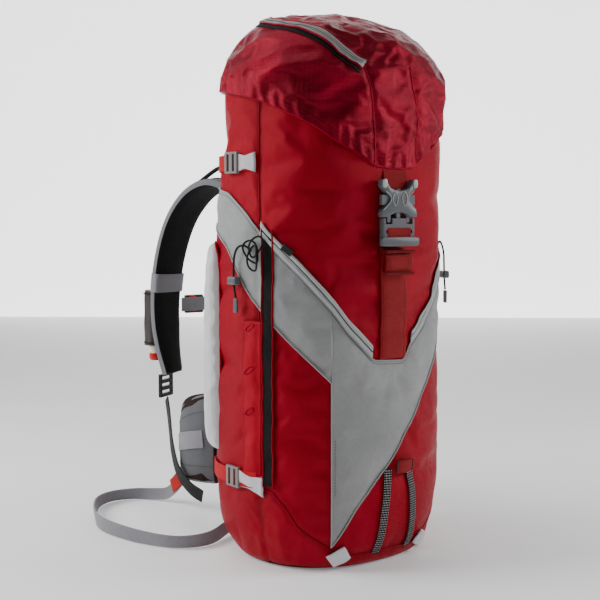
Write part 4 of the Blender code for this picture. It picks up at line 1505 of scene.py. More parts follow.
    def _lining(self) -> None:
        """Line the lid."""
        def place(i: int, j: int) -> Vector:
            """Place one point of the sheet."""
            theta = -180.0 + 5.0 * i
            z, share, _ = self._cell(theta, j / 25.0)
            if share < 1.0:
                return FORM.dome(theta, share, -0.0045 - 0.0065 * min(1.0, (1.0 - share) * 8.0))
            return self.place(theta, z, -0.0045)

        lining = lattice("lid_lining", 72, 26, place, lambda i, j: (i * 0.0095, j * 0.01), LINING, "lid",
                         wrap=True)
        lining.data.flip_normals()
        hem = [self.place(-180.0 + 3.0 * i, eased(self.hem, abs(-180.0 + 3.0 * i)), -0.0012)
               for i in range(120)]
        tube("lid_hem", hem, 0.0021, LID_RED, "lid", closed=True)

    def _trim(self) -> None:
        """Sew the hem and the tongue."""
        for rise in (0.0075, 0.0125):
            stops = [(t, eased(self.hem, abs(t)) + rise) for t in range(-178, 179, 4)]
            THREADS.row(self.run(stops, 0.0001), THREAD_RED, "lid")
        for index, stops in enumerate(self.tongue):
            tube("tongue_seam_%d" % index, self.run(stops, 0.0001), 0.0010, LID_RED, "lid")
            outer = -1.0 if index == 0 else 1.0
            for shift in (1.5, 2.8):
                beside = [(t + outer * shift, z) for t, z in stops[1:]]
                THREADS.row(self.run(beside, 0.0001), THREAD_RED, "lid")

    def _zip(self) -> None:
        """Sew the slanting zip with its net, ribs and edges."""
        route = smooth_route(self.zip_line, 14)
        middle = [self.seat(p.x, p.y, 0.0010) for p in route]
        out = [self.outwards(p.x, p.y) for p in route]

        def beside(shift: float, lift: float) -> list[Vector]:
            """Give a line that runs beside the zip."""
            points = []
            for i, place in enumerate(middle):
                ahead = heading(middle, i).normalized()
                points.append(self.cover.drop(place + out[i].cross(ahead) * shift, -out[i], lift))
            return points

        def strip(name: str, low: float, high: float, lift: float, thick: float, finish: Finish) -> None:
            """Lay a narrow strip along the zip."""
            lines = [beside(low + (high - low) * k / 6, lift - (0.0009 if k == 3 else 0.0)) for k in range(7)]
            band = lattice(name, 7, len(middle), lambda i, j: lines[i][j],
                           lambda i, j: (low + (high - low) * i / 6, 0.003 * j), finish, "lid")
            look_along(band, out[0])
            thicken(band, thick)

        strip("lid_zip_tape", -0.0068, 0.0068, 0.0022, 0.0011, ZIP_TAPE)
        strip("lid_zip_net", 0.0072, 0.0145, 0.0009, 0.0006, BLACK_AND_GAP_SHADE)
        for shift in (-0.0026, 0.0, 0.0026):
            tube("lid_zip_rib_%d" % (shift * 1e4), beside(shift, 0.0021), 0.0004, THREAD_DARK, "lid")
        for shift in (-0.0072, 0.0072):
            tube("lid_zip_edge_%d" % (shift * 1e4), beside(shift, 0.0018), 0.0012, LID_RED, "lid")
            THREADS.row(beside(shift * 0.72, 0.0024), THREAD_RED, "lid")

    def _strap(self) -> None:
        """Hang the short strap that holds the buckle."""
        low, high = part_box("lid_strap")
        centre, ends = (low + high) * 0.5, []
        for z, lift in ((low.z - 0.0120, 0.0062), (low.z - 0.004, 0.0058), (low.z + 0.004, 0.0040),
                        (centre.z, 0.0022), (high.z + 0.002, 0.0012)):
            ends.append(Vector((centre.x, centre.y - lift, z)))
        strap = sweep("lid_strap_web", ends, [-INWARD] * 5, web(0.0370, 0.0022), RED_WEB, "lid")
        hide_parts("lid_strap")

    def _hinge(self) -> None:
        """Join the lid to the back of the bag with a curved strip of cloth that rides on neither body."""
        columns, rows, foot, head = 19, 25, 0.552, 0.618

        def place(i: int, j: int) -> Vector:
            """Place one point of the sheet."""
            z, x = foot + (head - foot) * j / (rows - 1), 0.048 * (2.0 * i / (columns - 1) - 1.0)
            rise = min(1.0, max(0.0, (z - 0.572) / 0.020))
            bag = FORM.skin(math.degrees(math.atan2(x, -0.0765)), min(z, FORM.rim_z)).y
            return Vector((x, bag + 0.0016 + 0.0086 * rise * rise * (3.0 - 2.0 * rise), z))

        strip = lattice("lid_hinge_web", columns, rows, place, lambda i, j: (0.005 * i, 0.0028 * j), BAG_RED)
        look_along(strip, INWARD)
        thicken(strip, 0.0014)
        strip.parent = None
        del strip["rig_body"]
        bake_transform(strip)


# -------------------------------------------------------------- fastening
@dataclass
class Fastening:
    """The front strap, its roll and the buckle that holds the lid."""

    bag: Bag
    roll_turns: int = 3

    def build(self) -> None:
        """Build the strap and the buckle."""
        self._strap()
        self._buckle()

    def _strap(self) -> None:
        """Build the red strap and its rolled end."""
        low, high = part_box("front_strap")
        stops = []
        for k in range(24):
            z = low.z + (0.392 - low.z) * k / 23
            reach = min(self.bag.cover.drop(Vector((x, -0.127, z)), INWARD, 0.0).y
                        for x in (-0.017, 0.0, 0.017))
            stops.append(Vector((0.0005, min(reach - 0.0012, -0.1262), z)))
        strap = sweep("front_strap_web", stops, [-INWARD] * len(stops), web(0.041, 0.0020), RED_WEB)
        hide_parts("front_strap")
        for x in (-0.0170, 0.0170):
            THREADS.row([p + Vector((x, -0.0012, 0.0)) for p in stops[:18]], THREAD_RED)
        centre = Vector((0.001, -0.1335, 0.3745))
        spiral = []
        for k in range(60):
            angle = math.tau * self.roll_turns * k / 59
            reach = 0.0022 + 0.0042 * k / 59
            turn = Vector((0.0, -math.sin(angle) * reach * 0.9, math.cos(angle) * reach * 2.0))
            spiral.append(centre + turn)
        out = [(p - centre).normalized() for p in spiral]
        sweep("front_strap_roll", spiral, out, web(0.042, 0.0017), RED_WEB)
        for k, z in enumerate((0.3615, 0.3875)):
            fold = [centre + Vector((x, -0.0052, z - centre.z)) for x in (-0.022, -0.011, 0.0, 0.011, 0.022)]
            tube("roll_fold_%d" % k, fold, 0.0020, RED_WEB)
        for x in (-0.0175, -0.0150, 0.0150, 0.0175):
            THREADS.row([centre + Vector((x, -0.0071, -0.009)), centre + Vector((x, -0.0071, 0.009))],
                        THREAD_RED)

    def _buckle(self) -> None:
        """Dress the buckle's two halves."""
        low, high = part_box("buckle_female")
        mid_x, mid_z = (low.x + high.x) * 0.5, (low.z + high.z) * 0.5
        wide, tall = (high.x - low.x) * 0.5 + 0.0005, (high.z - low.z) * 0.5
        half = ((0.0, 0.40), (0.25, 0.44), (0.50, 0.54), (0.64, 0.76), (0.69, 0.98), (0.99, 0.98),
                (1.0, 0.62), (0.80, 0.36), (0.56, 0.16), (0.48, 0.0), (0.54, -0.18), (0.76, -0.42),
                (0.95, -0.60), (1.0, -0.80), (0.96, -0.98), (0.62, -0.98), (0.42, -0.84), (0.20, -0.75),
                (0.0, -0.72))
        shape = list(half) + [(-x, z) for x, z in reversed(half[1:-1])]
        outline = [(mid_x + x * wide, mid_z + z * tall) for x, z in shape]
        depth = high.y - low.y
        body = plate("buckle_face", outline, depth * 0.72, at_depth(high.y - depth * 0.20), GREY_PLASTIC,
                     "lid", 0.0016)
        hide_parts("buckle_female")
        front = high.y - depth * 0.92
        for name, side in SIDES:
            ear = oval(0.0036, 0.0052, mid_x + side * wide * 0.845, mid_z + tall * 0.76, 16, 3.0)
            plate("buckle_ear_" + name, ear, 0.0012, at_depth(front + 0.0002), PALE_PLASTIC, "lid", 0.0004)
            window = oval(0.0040, 0.0085, mid_x + side * wide * 0.26, mid_z - 0.0005, 18, 1.5)
            edge = [Vector((x, front - 0.0002, z)) for x, z in window]
            tube("buckle_window_" + name, edge, 0.0006, PALE_PLASTIC, "lid", closed=True)
            rim = [Vector((mid_x + side * wide * x * 0.95, front + 0.0002, mid_z + tall * z))
                   for x, z in half[7:13]]
            tube("buckle_edge_" + name, rim, 0.0006, PALE_PLASTIC, "lid")
        low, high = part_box("buckle_male")
        mid_x = (low.x + high.x) * 0.5
        bar = oval(0.0300, 0.0056, mid_x, 0.3995, 28, 6.0)
        plate("buckle_bar", bar, 0.0036, at_depth(low.y + 0.0004), GREY_PLASTIC, bevel=0.0010)
        loop = [Vector((mid_x, low.y + 0.0012, z)) for z in (0.4040, 0.4100, 0.4160)]
        sweep("buckle_webbing_loop", loop, [-INWARD] * 3, web(0.038, 0.0030), RED_WEB)
        for x in (-0.0155, 0.0155):
            ends = [Vector((mid_x + x, low.y - 0.0005, z)) for z in (0.4045, 0.4155)]
            THREADS.row(ends, THREAD_RED)


# ---------------------------------------------------------------- side kit
@dataclass
class SideKit:
    """Compression straps, elastic cords and airbag covers on both sides."""

    bag: Bag
    upper_z: float = 0.494
    lower_z: float = 0.110
    web_width: float = 0.020

    def build(self) -> None:
        """Build both sides."""
        for name, side in SIDES:
            for level, z in (("upper", self.upper_z), ("lower", self.lower_z)):
                self._strap(name, side, level, z)
            self._cord(name, side)
            self._airbag(name, side)

    def _strap(self, name: str, side: float, level: str, z: float) -> None:
        """Build one compression strap with its white tab.

        Args:
            name: left or right.
            side: -1 on the left and 1 on the right.
            level: upper or lower.
            z: its height.
        """
        stops = [(side * t, z) for t in (74.0, 80.0, 89.0, 100.0, 112.0, 124.5)]
        route = self.bag.run(stops, 0.0024, 0.003)
        faces = [FORM.outwards(bearing_of(p), z) for p in route]
        strap = sweep("compression_web_%s_%s" % (level, name), route, faces, web(self.web_width, 0.0017),
                      RED_WEB_LIGHT)
        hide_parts("compression_strap_%s_%s" % (level, name))
        drop, reach = (0.0, 74.0) if level == "upper" else (0.007, 70.0)
        root, count = 84.5, 9

        def place(i: int, j: int) -> Vector:
            """Place one point of the sheet."""
            share = i / (count - 1)
            half = 0.0072 + 0.0042 * abs(2.0 * share - 0.9)
            theta = root + (reach - root) * share
            height = z - drop * share + half * (2.0 * j / (count - 1) - 1.0)
            return self.bag.seat(side * theta, height, 0.0042)

        tab = lattice("strap_tab_%s_%s" % (level, name), count, count, place,
                      lambda i, j: (0.0025 * j, 0.003 * i), WHITE_WEB)
        look_along(tab, Vector((side, 0.0, 0.0)))
        thicken(tab, 0.0016)
        for t in (reach + 0.8, 83.5):
            row = self.bag.run(((side * t, z - 0.010), (side * t, z + 0.010)), 0.0044)
            THREADS.row(row, THREAD_PALE)

    def _cord(self, name: str, side: float) -> None:
        """Build the elastic cord with its loops at the top of the gap.

        Args:
            name: left or right.
            side: -1 on the left and 1 on the right.
        """
        routes = {"left": ((75.5, .388, .006), (78.5, .3945, .0085), (82.5, .393, .010), (85.3, .383, .010),
                           (86, .368, .010), (86, .352, .010), (85.4, .340, .010), (84.4, .3315, .010)),
                  "right": ((66, .392, .006), (67.5, .3965, .011), (69, .390, .016), (69.6, .380, .019),
                            (70, .368, .020), (70, .352, .0205), (70.2, .340, .0215), (70.4, .3315, .0225))}
        route = [FORM.skin(side * p.x, p.y, p.z) for p in smooth_route(routes[name], 3)]
        cord = tube("elastic_cord_" + name, route, 0.00135, CORD)
        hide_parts("side_cord_" + name)
        turns = ((72.6, 0.3935, 3.4, 0.0125, 0.5), (74.2, 0.3875, 3.8, 0.0135, -0.4),
                 (73.0, 0.3800, 2.6, 0.0150, 0.1))
        for k, (theta, z, wide, tall, tilt) in enumerate(turns):
            ring = []
            for step in range(28):
                angle = math.tau * step / 28
                x, y = math.cos(angle), math.sin(angle)
                ring.append(self.bag.seat(side * (theta + wide * (x - tilt * y)), z + tall * y,
                                          0.0058 + 0.0016 * k + 0.0020 * (1.0 + math.sin(angle * 2.0 + k))))
            tube("elastic_loop_%s_%d" % (name, k), ring, 0.0012, CORD, closed=True)

    def _airbag(self, name: str, side: float) -> None:
        """Build the padded cover over the folded airbag.

        Args:
            name: left or right.
            side: -1 on the left and 1 on the right.
        """
        columns, rows, low, high = 34, 90, 0.135, 0.397

        def shape(i: int, j: int) -> tuple[float, float, float]:
            """Give one point of the cover as (bearing, height, lift)."""
            u, v = 2.0 * i / (columns - 1) - 1.0, j / (rows - 1)
            narrow = 1.0 if v < 0.84 else math.sqrt(max(0.0, 1.0 - ((v - 0.84) / 0.16) ** 2)) * 0.94 + 0.06
            z = low + (high - low) * v
            crown = (1.0 - abs(u) ** 4.0) ** 0.5 * (1.0 - abs(2.0 * v - 1.0) ** 10.0) ** 0.5
            return 114.25 + 10.6 * u * narrow, z, 0.0016 + 0.0138 * crown

        def place(i: int, j: int) -> Vector:
            """Place one point of the sheet."""
            theta, z, lift = shape(i, j)
            return FORM.skin(side * theta, z, lift + 0.0008 * crease(Vector((theta * 0.002, 0.0, z)), 60.0))

        cover = lattice("airbag_cover_pad_" + name, columns, rows, place,
                        lambda i, j: (0.0014 * i, shape(i, j)[1]), COVER,
                        pin=lambda i, j: 1.0 if i in (0, columns - 1) or j in (0, rows - 1) else 0.0)
        if side < 0:
            cover.data.flip_normals()
        simulate_cloth(cover, 0.02, 0.5, 0.0012, bending=0.3, frames=12)
        refine(cover)
        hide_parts("airbag_cover_" + name, "airbag_" + name)
        edge = [place(0, j) for j in range(rows)] + [place(columns - 1, j) for j in range(rows - 1, -1, -1)]
        tube("airbag_piping_" + name, edge, 0.0016, BAG_RED, closed=True)
        seat = Cover(cover)
        for k in (3, columns - 4):
            row = []
            for j in range(4, rows - 8):
                theta, z, lift = shape(k, j)
                inward = -FORM.outwards(side * theta, z)
                row.append(seat.drop(FORM.skin(side * theta, z, lift), inward, 0.0001))
            THREADS.row(row, THREAD_PALE)


# ----------------------------------------------------------------- harness
@dataclass
class Harness:
    """Back pad, shoulder straps, hip fins, handle, chest strap and leg strap."""

    bag: Bag
    strap_route: tuple = ((.055, .1085, .455), (.060, .125, .468), (.068, .158, .473), (.078, .196, .457),
                          (.087, .228, .420), (.093, .249, .365), (.096, .256, .305), (.094, .254, .248),
                          (.090, .247, .204))
    strap_width: float = 0.057
    strap_thick: float = 0.0145
    strap_turn: float = 28.0
    lower_route: tuple = ((.0955, .2575, .1655), (.098, .248, .148), (.107, .228, .130), (.121, .198, .108),
                          (.131, .165, .082), (.129, .138, .064), (.121, .118, .054))
    fin_route: tuple = ((.104, .110, .195), (.116, .130, .190), (.119, .154, .178), (.111, .180, .163),
                        (.093, .204, .148), (.069, .224, .134), (.045, .237, .122))
    leg_route: tuple = ((-.0800, .2240, .0560), (-.0785, .2480, .0455), (-.0745, .2740, .0280),
                        (-.0740, .2990, .0135), (-.0860, .3220, .0095), (-.1080, .3400, .0095),
                        (-.1420, .3460, .0095), (-.1740, .3260, .0095), (-.2000, .2820, .0095),
                        (-.2150, .2420, .0095), (-.2180, .2040, .0095), (-.2080, .1480, .0095),
                        (-.1860, .0980, .0095), (-.1600, .0790, .0095), (-.1300, .0800, .0095),
                        (-.1000, .0970, .0110), (-.0780, .1060, .0170), (-.0640, .1080, .0300),
                        (-.0600, .1060, .0450))

    def build(self) -> None:
        """Build the harness."""
        self._back_pad()
        for name, side in SIDES:
            self._shoulder(name, side)
            self._fin(name, side)
        self._haul()
        self._chest()
        self._handle()
        self._hose()
        self._leg_strap()

    def _back_pad(self) -> None:
        """Build the back pad with its sewn air channels."""
        low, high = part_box("back_pad")
        columns, rows = 60, 120
        depth = high.y - low.y

        def place(i: int, j: int) -> Vector:
            """Place one point of the sheet."""
            u, v = 2.0 * i / (columns - 1) - 1.0, 2.0 * j / (rows - 1) - 1.0
            corner = 1.0 - 0.10 * abs(v) ** 10
            x = (low.x + high.x) * 0.5 + (high.x - low.x) * 0.5 * u * corner
            z = (low.z + high.z) * 0.5 + (high.z - low.z) * 0.5 * v
            crown = (1.0 - abs(u) ** 8) ** 0.5 * (1.0 - abs(v) ** 16) ** 0.5
            groove = near(x, 0.008) + (0.75 if abs(x) > 0.012 else 0.0) * near(
                math.remainder(z - 0.06, 0.071), 0.006)
            return Vector((x, low.y + 0.0008 + (depth - 0.0010) * crown * (1.0 - 0.6 * min(1.0, groove)), z))

        pad = lattice("back_pad_mesh", columns, rows, place, lambda i, j: (0.0033 * i, 0.0036 * j), BACK_MESH,
                      pin=lambda i, j: 1.0 if i in (0, columns - 1) or j in (0, rows - 1) else 0.35)
        pad.data.flip_normals()
        simulate_cloth(pad, 0.02, 0.0, 0.0008, bending=0.4, frames=10)
        refine(pad)
        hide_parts("back_pad")
        ring = [place(i, 0) for i in range(columns)] + [place(columns - 1, j) for j in range(rows)]
        ring += [place(i, rows - 1) for i in range(columns - 1, -1, -1)]
        ring += [place(0, j) for j in range(rows - 1, 0, -1)]
        tube("back_pad_binding", ring, 0.0024, BLACK_WEB, closed=True)

    def _shoulder(self, name: str, side: float) -> None:
        """Build one shoulder strap with its edge, keeper and lower webbing.

        Args:
            name: left or right.
            side: -1 on the left and 1 on the right.
        """
        points = smooth_route([(side * x, y, z) for x, y, z in self.strap_route], 7)
        last = len(points) - 1
        faces, acrosses = [], []
        for i in range(last + 1):
            ahead = heading(points, i).normalized()
            turn = math.radians(self.strap_turn) * i / last
            across = Vector((-side * math.cos(turn), math.sin(turn), 0.0))
            faces.append((across.cross(ahead) * -side).normalized())
            acrosses.append(across)
        half, thick = self.strap_width * 0.5, self.strap_thick * 0.5
        scales = [(0.90 + 0.10 * math.sin(min(1.0, i / last * 3.0) * math.pi / 2)
                   - 0.28 * max(0.0, i / last - 0.82) / 0.18, 1.0) for i in range(last + 1)]
        section = oval(half - 0.001, thick - 0.0012, 0.0, -0.0009, 28, 3.2)
        core = sweep("shoulder_pad_" + name, points, faces, section, FOAM, scales=scales)
        simulate_cloth(core, 0.015, 1.2, 0.0010, bending=0.4, frames=10)
        refine(core)
        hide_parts("shoulder_strap_" + name)
        shell = [(half * x, thick * y) for x, y in (
            (-1.0, -0.25), (-1.0, 0.35), (-0.94, 0.85), (-0.7, 1.0), (0.0, 1.02), (0.7, 1.0), (0.94, 0.85),
            (1.0, 0.35), (1.0, -0.25), (0.955, 0.25), (0.88, 0.7), (0.0, 0.86), (-0.88, 0.7), (-0.955, 0.25))]
        sweep("shoulder_shell_" + name, points, faces, shell, PALE_EDGE, scales=scales)
        web_route = [p + f * (thick + 0.0008) for p, f in zip(points, faces)][4:last - 1]
        sweep("shoulder_web_" + name, web_route, faces[4:last - 1], web(0.020, 0.0016), BLACK_WEB)
        for edge in (-0.84, 0.84):
            row = [p + a * (half * edge * s[0]) + f * (thick + 0.0002)
                   for p, a, f, s in zip(points, acrosses, faces, scales)]
            THREADS.row(row, THREAD_DARK)
        keeper = [i for i in range(last + 1) if 0.318 < points[i].z < 0.350]
        sweep("shoulder_keeper_" + name, [points[i] for i in keeper], [faces[i] for i in keeper],
              oval(half + 0.0014, thick + 0.0020, 0.0, 0.0, 28, 4.0), GREY_WEB)
        lower = smooth_route([(side * x, y, z) for x, y, z in self.lower_route], 6)
        outs = []
        for i in range(len(lower)):
            ahead = heading(lower, i).normalized()
            flat = Vector((side, 0.35, 0.0)) - ahead * Vector((side, 0.35, 0.0)).dot(ahead)
            outs.append(flat.cross(ahead).cross(ahead) * -1.0)
        strap = sweep("lower_web_" + name, lower, outs, web(0.0215, 0.0018), BLACK_WEB)
        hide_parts("lower_webbing_" + name)

    def _fin(self, name: str, side: float) -> None:
        """Build one hip fin: a quilted pad with a grey face and a dark lining.

        Args:
            name: left or right.
            side: -1 on the left and 1 on the right.
        """
        points = smooth_route([(side * x, y, z) for x, y, z in self.fin_route], 6)
        low, last = 0.071, len(points) - 1
        route = [Vector((p.x, p.y, (low + p.z) * 0.5)) for p in points]
        faces, scales = [], []
        for i in range(last + 1):
            ahead = heading(route, i)
            out = Vector((ahead.y, -ahead.x, 0.0)).normalized() * side
            faces.append(out)
            end = math.sqrt(max(0.04, 1.0 - max(0.0, (i / last - 0.80) / 0.20) ** 2))
            scales.append(((points[i].z - low) * 0.5 * end, 1.0))
        outline = oval(0.995, 0.0052, 0.0, 0.0, 32, 3.6)
        pad = sweep("hip_fin_pad_" + name, route, faces, outline, HIP_DARK, scales=scales)
        simulate_cloth(pad, 0.02, 1.5, 0.0012, bending=0.3, frames=10)
        refine(pad)
        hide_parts("hip_fin_" + name)
        across = 22

        def face(i: int, j: int) -> Vector:
            """Place one point of the fin's outer face."""
            u = 2.0 * i / across - 1.0
            bulge = (1.0 - abs(u) ** 5) ** 0.5
            wrinkle = 0.0007 * crease(route[j] * 1.0 + Vector((0.0, 0.0, u * 0.05)), 48.0)
            return route[j] + faces[j] * (0.0036 + 0.0034 * bulge + wrinkle) + UP * (u * scales[j][0] * 0.96)

        shell = lattice("hip_fin_face_" + name, across + 1, last + 1, face,
                        lambda i, j: (0.004 * i, 0.005 * j), HIP)
        look_along(shell, faces[0])
        refine(shell)
        thicken(shell, 0.0012)
        for i, label in ((0, "lower"), (across, "upper")):
            tube("hip_fin_binding_%s_%s" % (label, name), [face(i, j) for j in range(last + 1)], 0.0019,
                 GREY_WEB)
        for i in (4, 11, 18):
            row = [face(i, j) + faces[j] * 0.0003 for j in range(last + 1)]
            THREADS.row(row, THREAD_DARK)
        belt = [route[j] + faces[j] * 0.0078 for j in range(4, last + 1)]
        sweep("hip_belt_web_" + name, belt, faces[4:], web(0.024, 0.0016), GREY_WEB)

    def _haul(self) -> None:
        """Build the haul loop over the back pad."""
        low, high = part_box("haul_loop")
        z, deep = (low.z + high.z) * 0.5, high.y - low.y - 0.001
        route = []
        for k in range(25):
            share = k / 24.0
            bow = math.sin(math.pi * share) ** 0.6
            x = low.x + 0.0012 + (high.x - low.x - 0.0024) * share
            route.append(Vector((x, low.y + 0.0008 + deep * bow, z)))
        faces = [Vector((0.0, 1.0, 0.0)) + Vector((p.x * 14.0, 0.0, 0.0)) for p in route]
        loop = sweep("haul_loop_web", route, faces, web(high.z - low.z, 0.0022), BLACK_WEB)
        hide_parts("haul_loop")

    def _chest(self) -> None:
        """Build the chest strap and dress its buckle."""
        low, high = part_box("sternum_strap")
        y, z = (low.y + high.y) * 0.5, (low.z + high.z) * 0.5
        route = [Vector((low.x + (high.x - low.x) * k / 16, y + 0.0004, z)) for k in range(17)]
        strap = sweep("chest_web", route, [INWARD] * 17, web(high.z - low.z, 0.0016), GREY_WEB,
                      "chest_strap")
        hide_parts("sternum_strap")
        low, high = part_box("sternum_buckle")
        mid = (low + high) * 0.5
        turn = at_depth(high.y - 0.0004) @ Matrix.Scale(-1.0, 4, (0.0, 1.0, 0.0))
        outline = oval((high.x - low.x) * 0.26, (high.z - low.z) * 0.47, mid.x - 0.0045, mid.z, 24, 3.6)
        for label, place in (("outer", turn), ("inner", at_depth(low.y + 0.0004))):
            face = plate("chest_buckle_" + label, outline, 0.0014, place, RED_PLASTIC, "chest_strap", 0.0005,
                         [oval(0.0026, 0.0062, mid.x - 0.0045, mid.z, 16, 2.6)])
            edit(face, face_out)

    def _handle(self) -> None:
        """Build the handle's sleeve, its red end and its dot."""
        low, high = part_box("handle_sleeve")
        mid = (low + high) * 0.5
        outline = oval((high.x - low.x) * 0.5, (high.y - low.y) * 0.5, 0.0, 0.0, 28, 3.0)
        route = [Vector((mid.x, mid.y, low.z + (high.z - low.z) * k / 14)) for k in range(15)]
        scales = [(1.0 - 0.10 * (k / 14) ** 6 - 0.03 * math.sin(k * 0.9), 1.0 - 0.10 * (k / 14) ** 6)
                  for k in range(15)]
        sleeve = sweep("handle_sleeve_fabric", route, [INWARD] * 15, outline, SLEEVE, scales=scales)
        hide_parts("handle_sleeve")
        for z in (low.z + 0.004, high.z - 0.005):
            ring = [Vector((mid.x + x * 1.01, mid.y + y * 1.01, z)) for x, y in outline]
            tube("sleeve_binding_%d" % (z * 1000), ring, 0.0009, BLACK_WEB, closed=True)
        low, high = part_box("trigger_handle")
        mid = (low + high) * 0.5
        foot = [Vector((mid.x, mid.y, low.z + dz)) for dz in (-0.0045, -0.0020, 0.0015, 0.0060)]
        sweep("handle_red_end", foot, [INWARD] * 4, oval(0.0090, 0.0090, count=28), RED_PLASTIC, "handle",
              scales=[(0.82, 0.82), (1.0, 1.0), (1.0, 1.0), (0.93, 0.93)])
        dot = oval(0.0018, 0.0018, mid.x - 0.001, low.z + 0.0105, 14)
        plate("handle_dot", dot, 0.0006, at_depth(mid.y - 0.0079), BLACK_PLASTIC, "handle", 0.0002)

    def _hose(self) -> None:
        """Build the hose from the handle up over the shoulder into the bag."""
        route = [Vector((-.1049, .2727, .3242)), Vector((-.1049, .2720, .340))]
        shift = Vector((-.0085, .011, .0045))
        route += [Vector((-x, y, z)) + shift for x, y, z in reversed(self.strap_route[3:6])]
        route += [Vector(p) for p in ((-.0755, .16, .49), (-.072, .132, .498), (-.069, .108, .503),
                                      (-.067, .0885, .505))]
        points = smooth_route(route, 5)
        hose = tube("release_hose", points, 0.0030, CORD)
        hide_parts("activation_hose")

    def _leg_strap(self) -> None:
        """Build the leg strap that lies on the ground, with its orange tab."""
        points = smooth_route(self.leg_route, 4)
        last = len(points) - 1
        faces = []
        for i in range(last + 1):
            ahead = heading(points, i)
            level = Vector((ahead.y, -ahead.x, 0.0)).normalized()
            faces.append(level + UP * 0.22 * math.sin(i * 0.35))
        strap = sweep("leg_strap_web", points, faces, web(0.0176, 0.0022), GREY_WEB)
        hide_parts("leg_strap")
        stops = ((0, (-.003, -.006, .020)), (1, (-.004, 0, .008)), (4, (-.004, 0, .001)),
                 (8, (-.004, 0, .002)))
        tab_route = smooth_route([points[i] + Vector(shift) for i, shift in stops], 5)
        tab = sweep("leg_strap_tab", tab_route, [Vector((-1.0, -0.2, 0.1))] * len(tab_route),
                    web(0.020, 0.0020), ORANGE_WEB)


# ------------------------------------------------------------------ inside
@dataclass
class Inside:
    """The collar inside the rim and the parts that the bag hides."""

    folds: int = 46

    def build(self) -> None:
        """Build the collar and finish the carried-over parts."""
        self._collar()
        self._frame_panel()
        finishes = {"buckle_male": GREY_PLASTIC, "buckle_female": GREY_PLASTIC, "lid_zip_slider": DARK_METAL,
                    "front_zip_slider": DARK_METAL, "gas_cartridge": STEEL, "activation_unit": ALUMINIUM,
                    "sternum_buckle": BLACK_PLASTIC, "trigger_handle": CREAM}
        for name, _ in SIDES:
            for part in ("buckle_prong_", "cord_lock_", "cord_toggle_"):
                finishes[part + name] = GREY_PLASTIC
            finishes["ladder_lock_" + name] = BLACK_PLASTIC
            for level in ("upper", "lower"):
                finishes["compression_hook_%s_%s" % (level, name)] = HOOK_METAL
        for name, finish in finishes.items():
            node = FRAME["nodes"][name]
            node.data.materials.clear()
            node.data.materials.append(finish.material())

    def _frame_panel(self) -> None:
        """Build the frame sheet that stiffens the back inside the bag."""
        low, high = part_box("frame_sheet")
        half = ((0.45, 0.0), (0.85, 0.03), (1.0, 0.10), (1.0, 0.60), (0.80, 0.80), (0.52, 0.95), (0.40, 1.0))
        shape = list(half) + [(-x, z) for x, z in reversed(half)]
        outline = [(x * high.x * 0.98, low.z + (high.z - low.z) * z) for x, z in shape]
        panel = plate("frame_panel", outline, high.y - low.y - 0.0006,
                      at_depth(high.y - 0.0008), FRAME_PLASTIC, bevel=0.0004)
        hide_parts("frame_sheet")

    def _collar(self) -> None:
        """Build the gathered collar."""
        columns, rows = 184, 14

        def place(i: int, j: int) -> Vector:
            """Place one point of the sheet."""
            theta, v = -180.0 + 360.0 * i / columns, j / (rows - 1)
            z = 0.561 + 0.064 * v
            share = 1.0 - 0.15 * max(0.0, v - 0.55) / 0.45
            point = FORM.skin(theta, FORM.rim_z, -0.0036 - 0.0012 * v)
            ripple = 0.0016 * v * v * math.sin(math.tau * self.folds * i / columns)
            return Vector((point.x * (share + ripple * 4.0), point.y * (share + ripple * 4.0), z + ripple))

        collar = lattice("spindrift_collar_fabric", columns, rows, place,
                         lambda i, j: (0.0037 * i, 0.0045 * j), LINING, wrap=True)
        apply_modifier(collar, "SOLIDIFY", thickness=0.0008, offset=0.0)
        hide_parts("spindrift_collar")
        ring = [place(i, rows - 1) for i in range(columns)]
        tube("collar_cord", ring, 0.0016, CORD, closed=True)


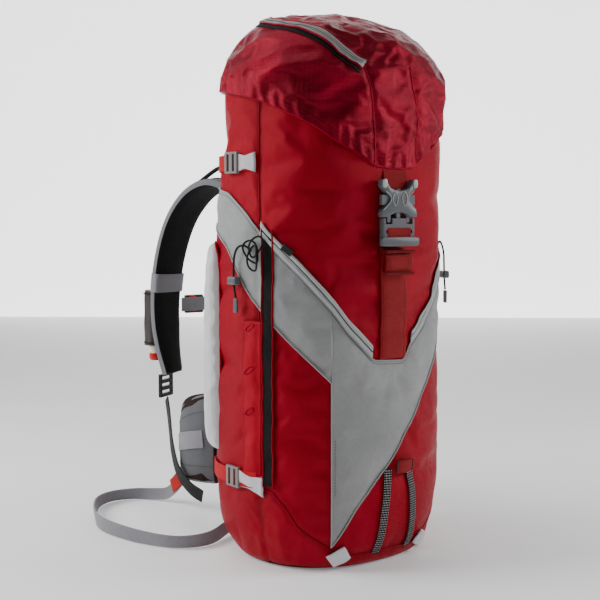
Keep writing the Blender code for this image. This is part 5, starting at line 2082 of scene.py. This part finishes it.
# ------------------------------------------------------------------ studio
@dataclass
class Studio:
    """Floor, light and camera."""

    place: tuple = (-0.862, -1.103, 0.43)
    lens: float = 64.6

    def build(self) -> None:
        """Set up the studio."""
        deselect()
        bpy.ops.mesh.primitive_plane_add(size=14.0, location=(0.0, 0.0, -0.0004))
        floor = bpy.context.active_object
        floor.name = "studio_floor"
        floor.data.materials.append(self._paper("studio_paper", 0.90, 0.16))
        bpy.ops.mesh.primitive_plane_add(size=3.4, location=(1.95, 2.50, 1.2),
                                         rotation=(math.radians(90.0), 0.0, math.radians(-38.0)))
        wall = bpy.context.active_object
        wall.name = "studio_wall"
        wall.data.materials.append(self._paper("studio_wall_paper", 0.9, 2.2))
        world = bpy.data.worlds.new("studio_world")
        bpy.context.scene.world = world
        world.use_nodes = True
        sky = world.node_tree.nodes["Background"]
        sky.inputs[0].default_value = (1.0, 1.0, 1.0, 1.0)
        sky.inputs[1].default_value = 0.14
        self._area("key", (-1.35, 0.85, 1.05), (0.0, 0.0, 0.36), 0.9, 30.0)
        self._area("front", (-0.95, -1.75, 1.5), (0.0, 0.0, 0.40), 1.2, 1.0)
        self._area("rim", (1.25, -0.95, 0.85), (0.0, 0.0, 0.36), 0.6, 16.0)
        self._area("top", (-0.3, 0.3, 1.9), (0.0, 0.0, 0.5), 0.8, 9.0)
        camera = bpy.data.objects.new("camera", bpy.data.cameras.new("camera"))
        bpy.context.scene.collection.objects.link(camera)
        camera.data.lens = self.lens
        camera.data.clip_start = 0.02
        camera.location = self.place
        ahead, right = Vector((0.616, 0.788, 0.0)).normalized(), Vector((0.788, -0.616, 0.0)).normalized()
        swing, pitch = math.radians(1.49), math.radians(4.46)
        level = ahead * math.cos(swing) - right * math.sin(swing)
        aim = level * math.cos(pitch) - UP * math.sin(pitch)
        camera.rotation_euler = aim.to_track_quat("-Z", "Y").to_euler()
        bpy.context.scene.camera = camera

    @staticmethod
    def _paper(name: str, shade: float, glow: float) -> bpy.types.Material:
        """Make the plain paper of the floor and the wall.

        Args:
            name: the material's name.
            shade: its grey, from 0 to 1.
            glow: its own light.

        Returns:
            The new material.
        """
        made = bpy.data.materials.new(name)
        made.use_nodes = True
        shader = made.node_tree.nodes["Principled BSDF"]
        shader.inputs["Base Color"].default_value = (shade, shade, shade, 1.0)
        shader.inputs["Roughness"].default_value = 0.9
        shader.inputs["Emission Color"].default_value = (1.0, 1.0, 1.0, 1.0)
        shader.inputs["Emission Strength"].default_value = glow
        return made

    @staticmethod
    def _area(name: str, place: Sequence[float], target: Sequence[float], size: float, power: float) -> None:
        """Hang one soft light.

        Args:
            name: the light's name.
            place: where it hangs.
            target: the point that it looks at.
            size: its side.
            power: its power in watts.
        """
        light = bpy.data.lights.new(name, "AREA")
        light.size, light.energy = size, power
        item = bpy.data.objects.new(name, light)
        bpy.context.scene.collection.objects.link(item)
        item.location = place
        item.rotation_euler = (Vector(target) - Vector(place)).to_track_quat("-Z", "Y").to_euler()




def main() -> None:
    """Build the pack piece by piece."""
    bag = Bag()
    for part in (bag, Lid(), Fastening(bag), SideKit(bag), Harness(bag), Inside(), Studio()):
        part.build()
        LOG.info("%s done, %d objects", type(part).__name__, len(bpy.data.objects))
    THREADS.finish()
    bpy.context.view_layer.update()


if __name__ == "__main__":
    main()
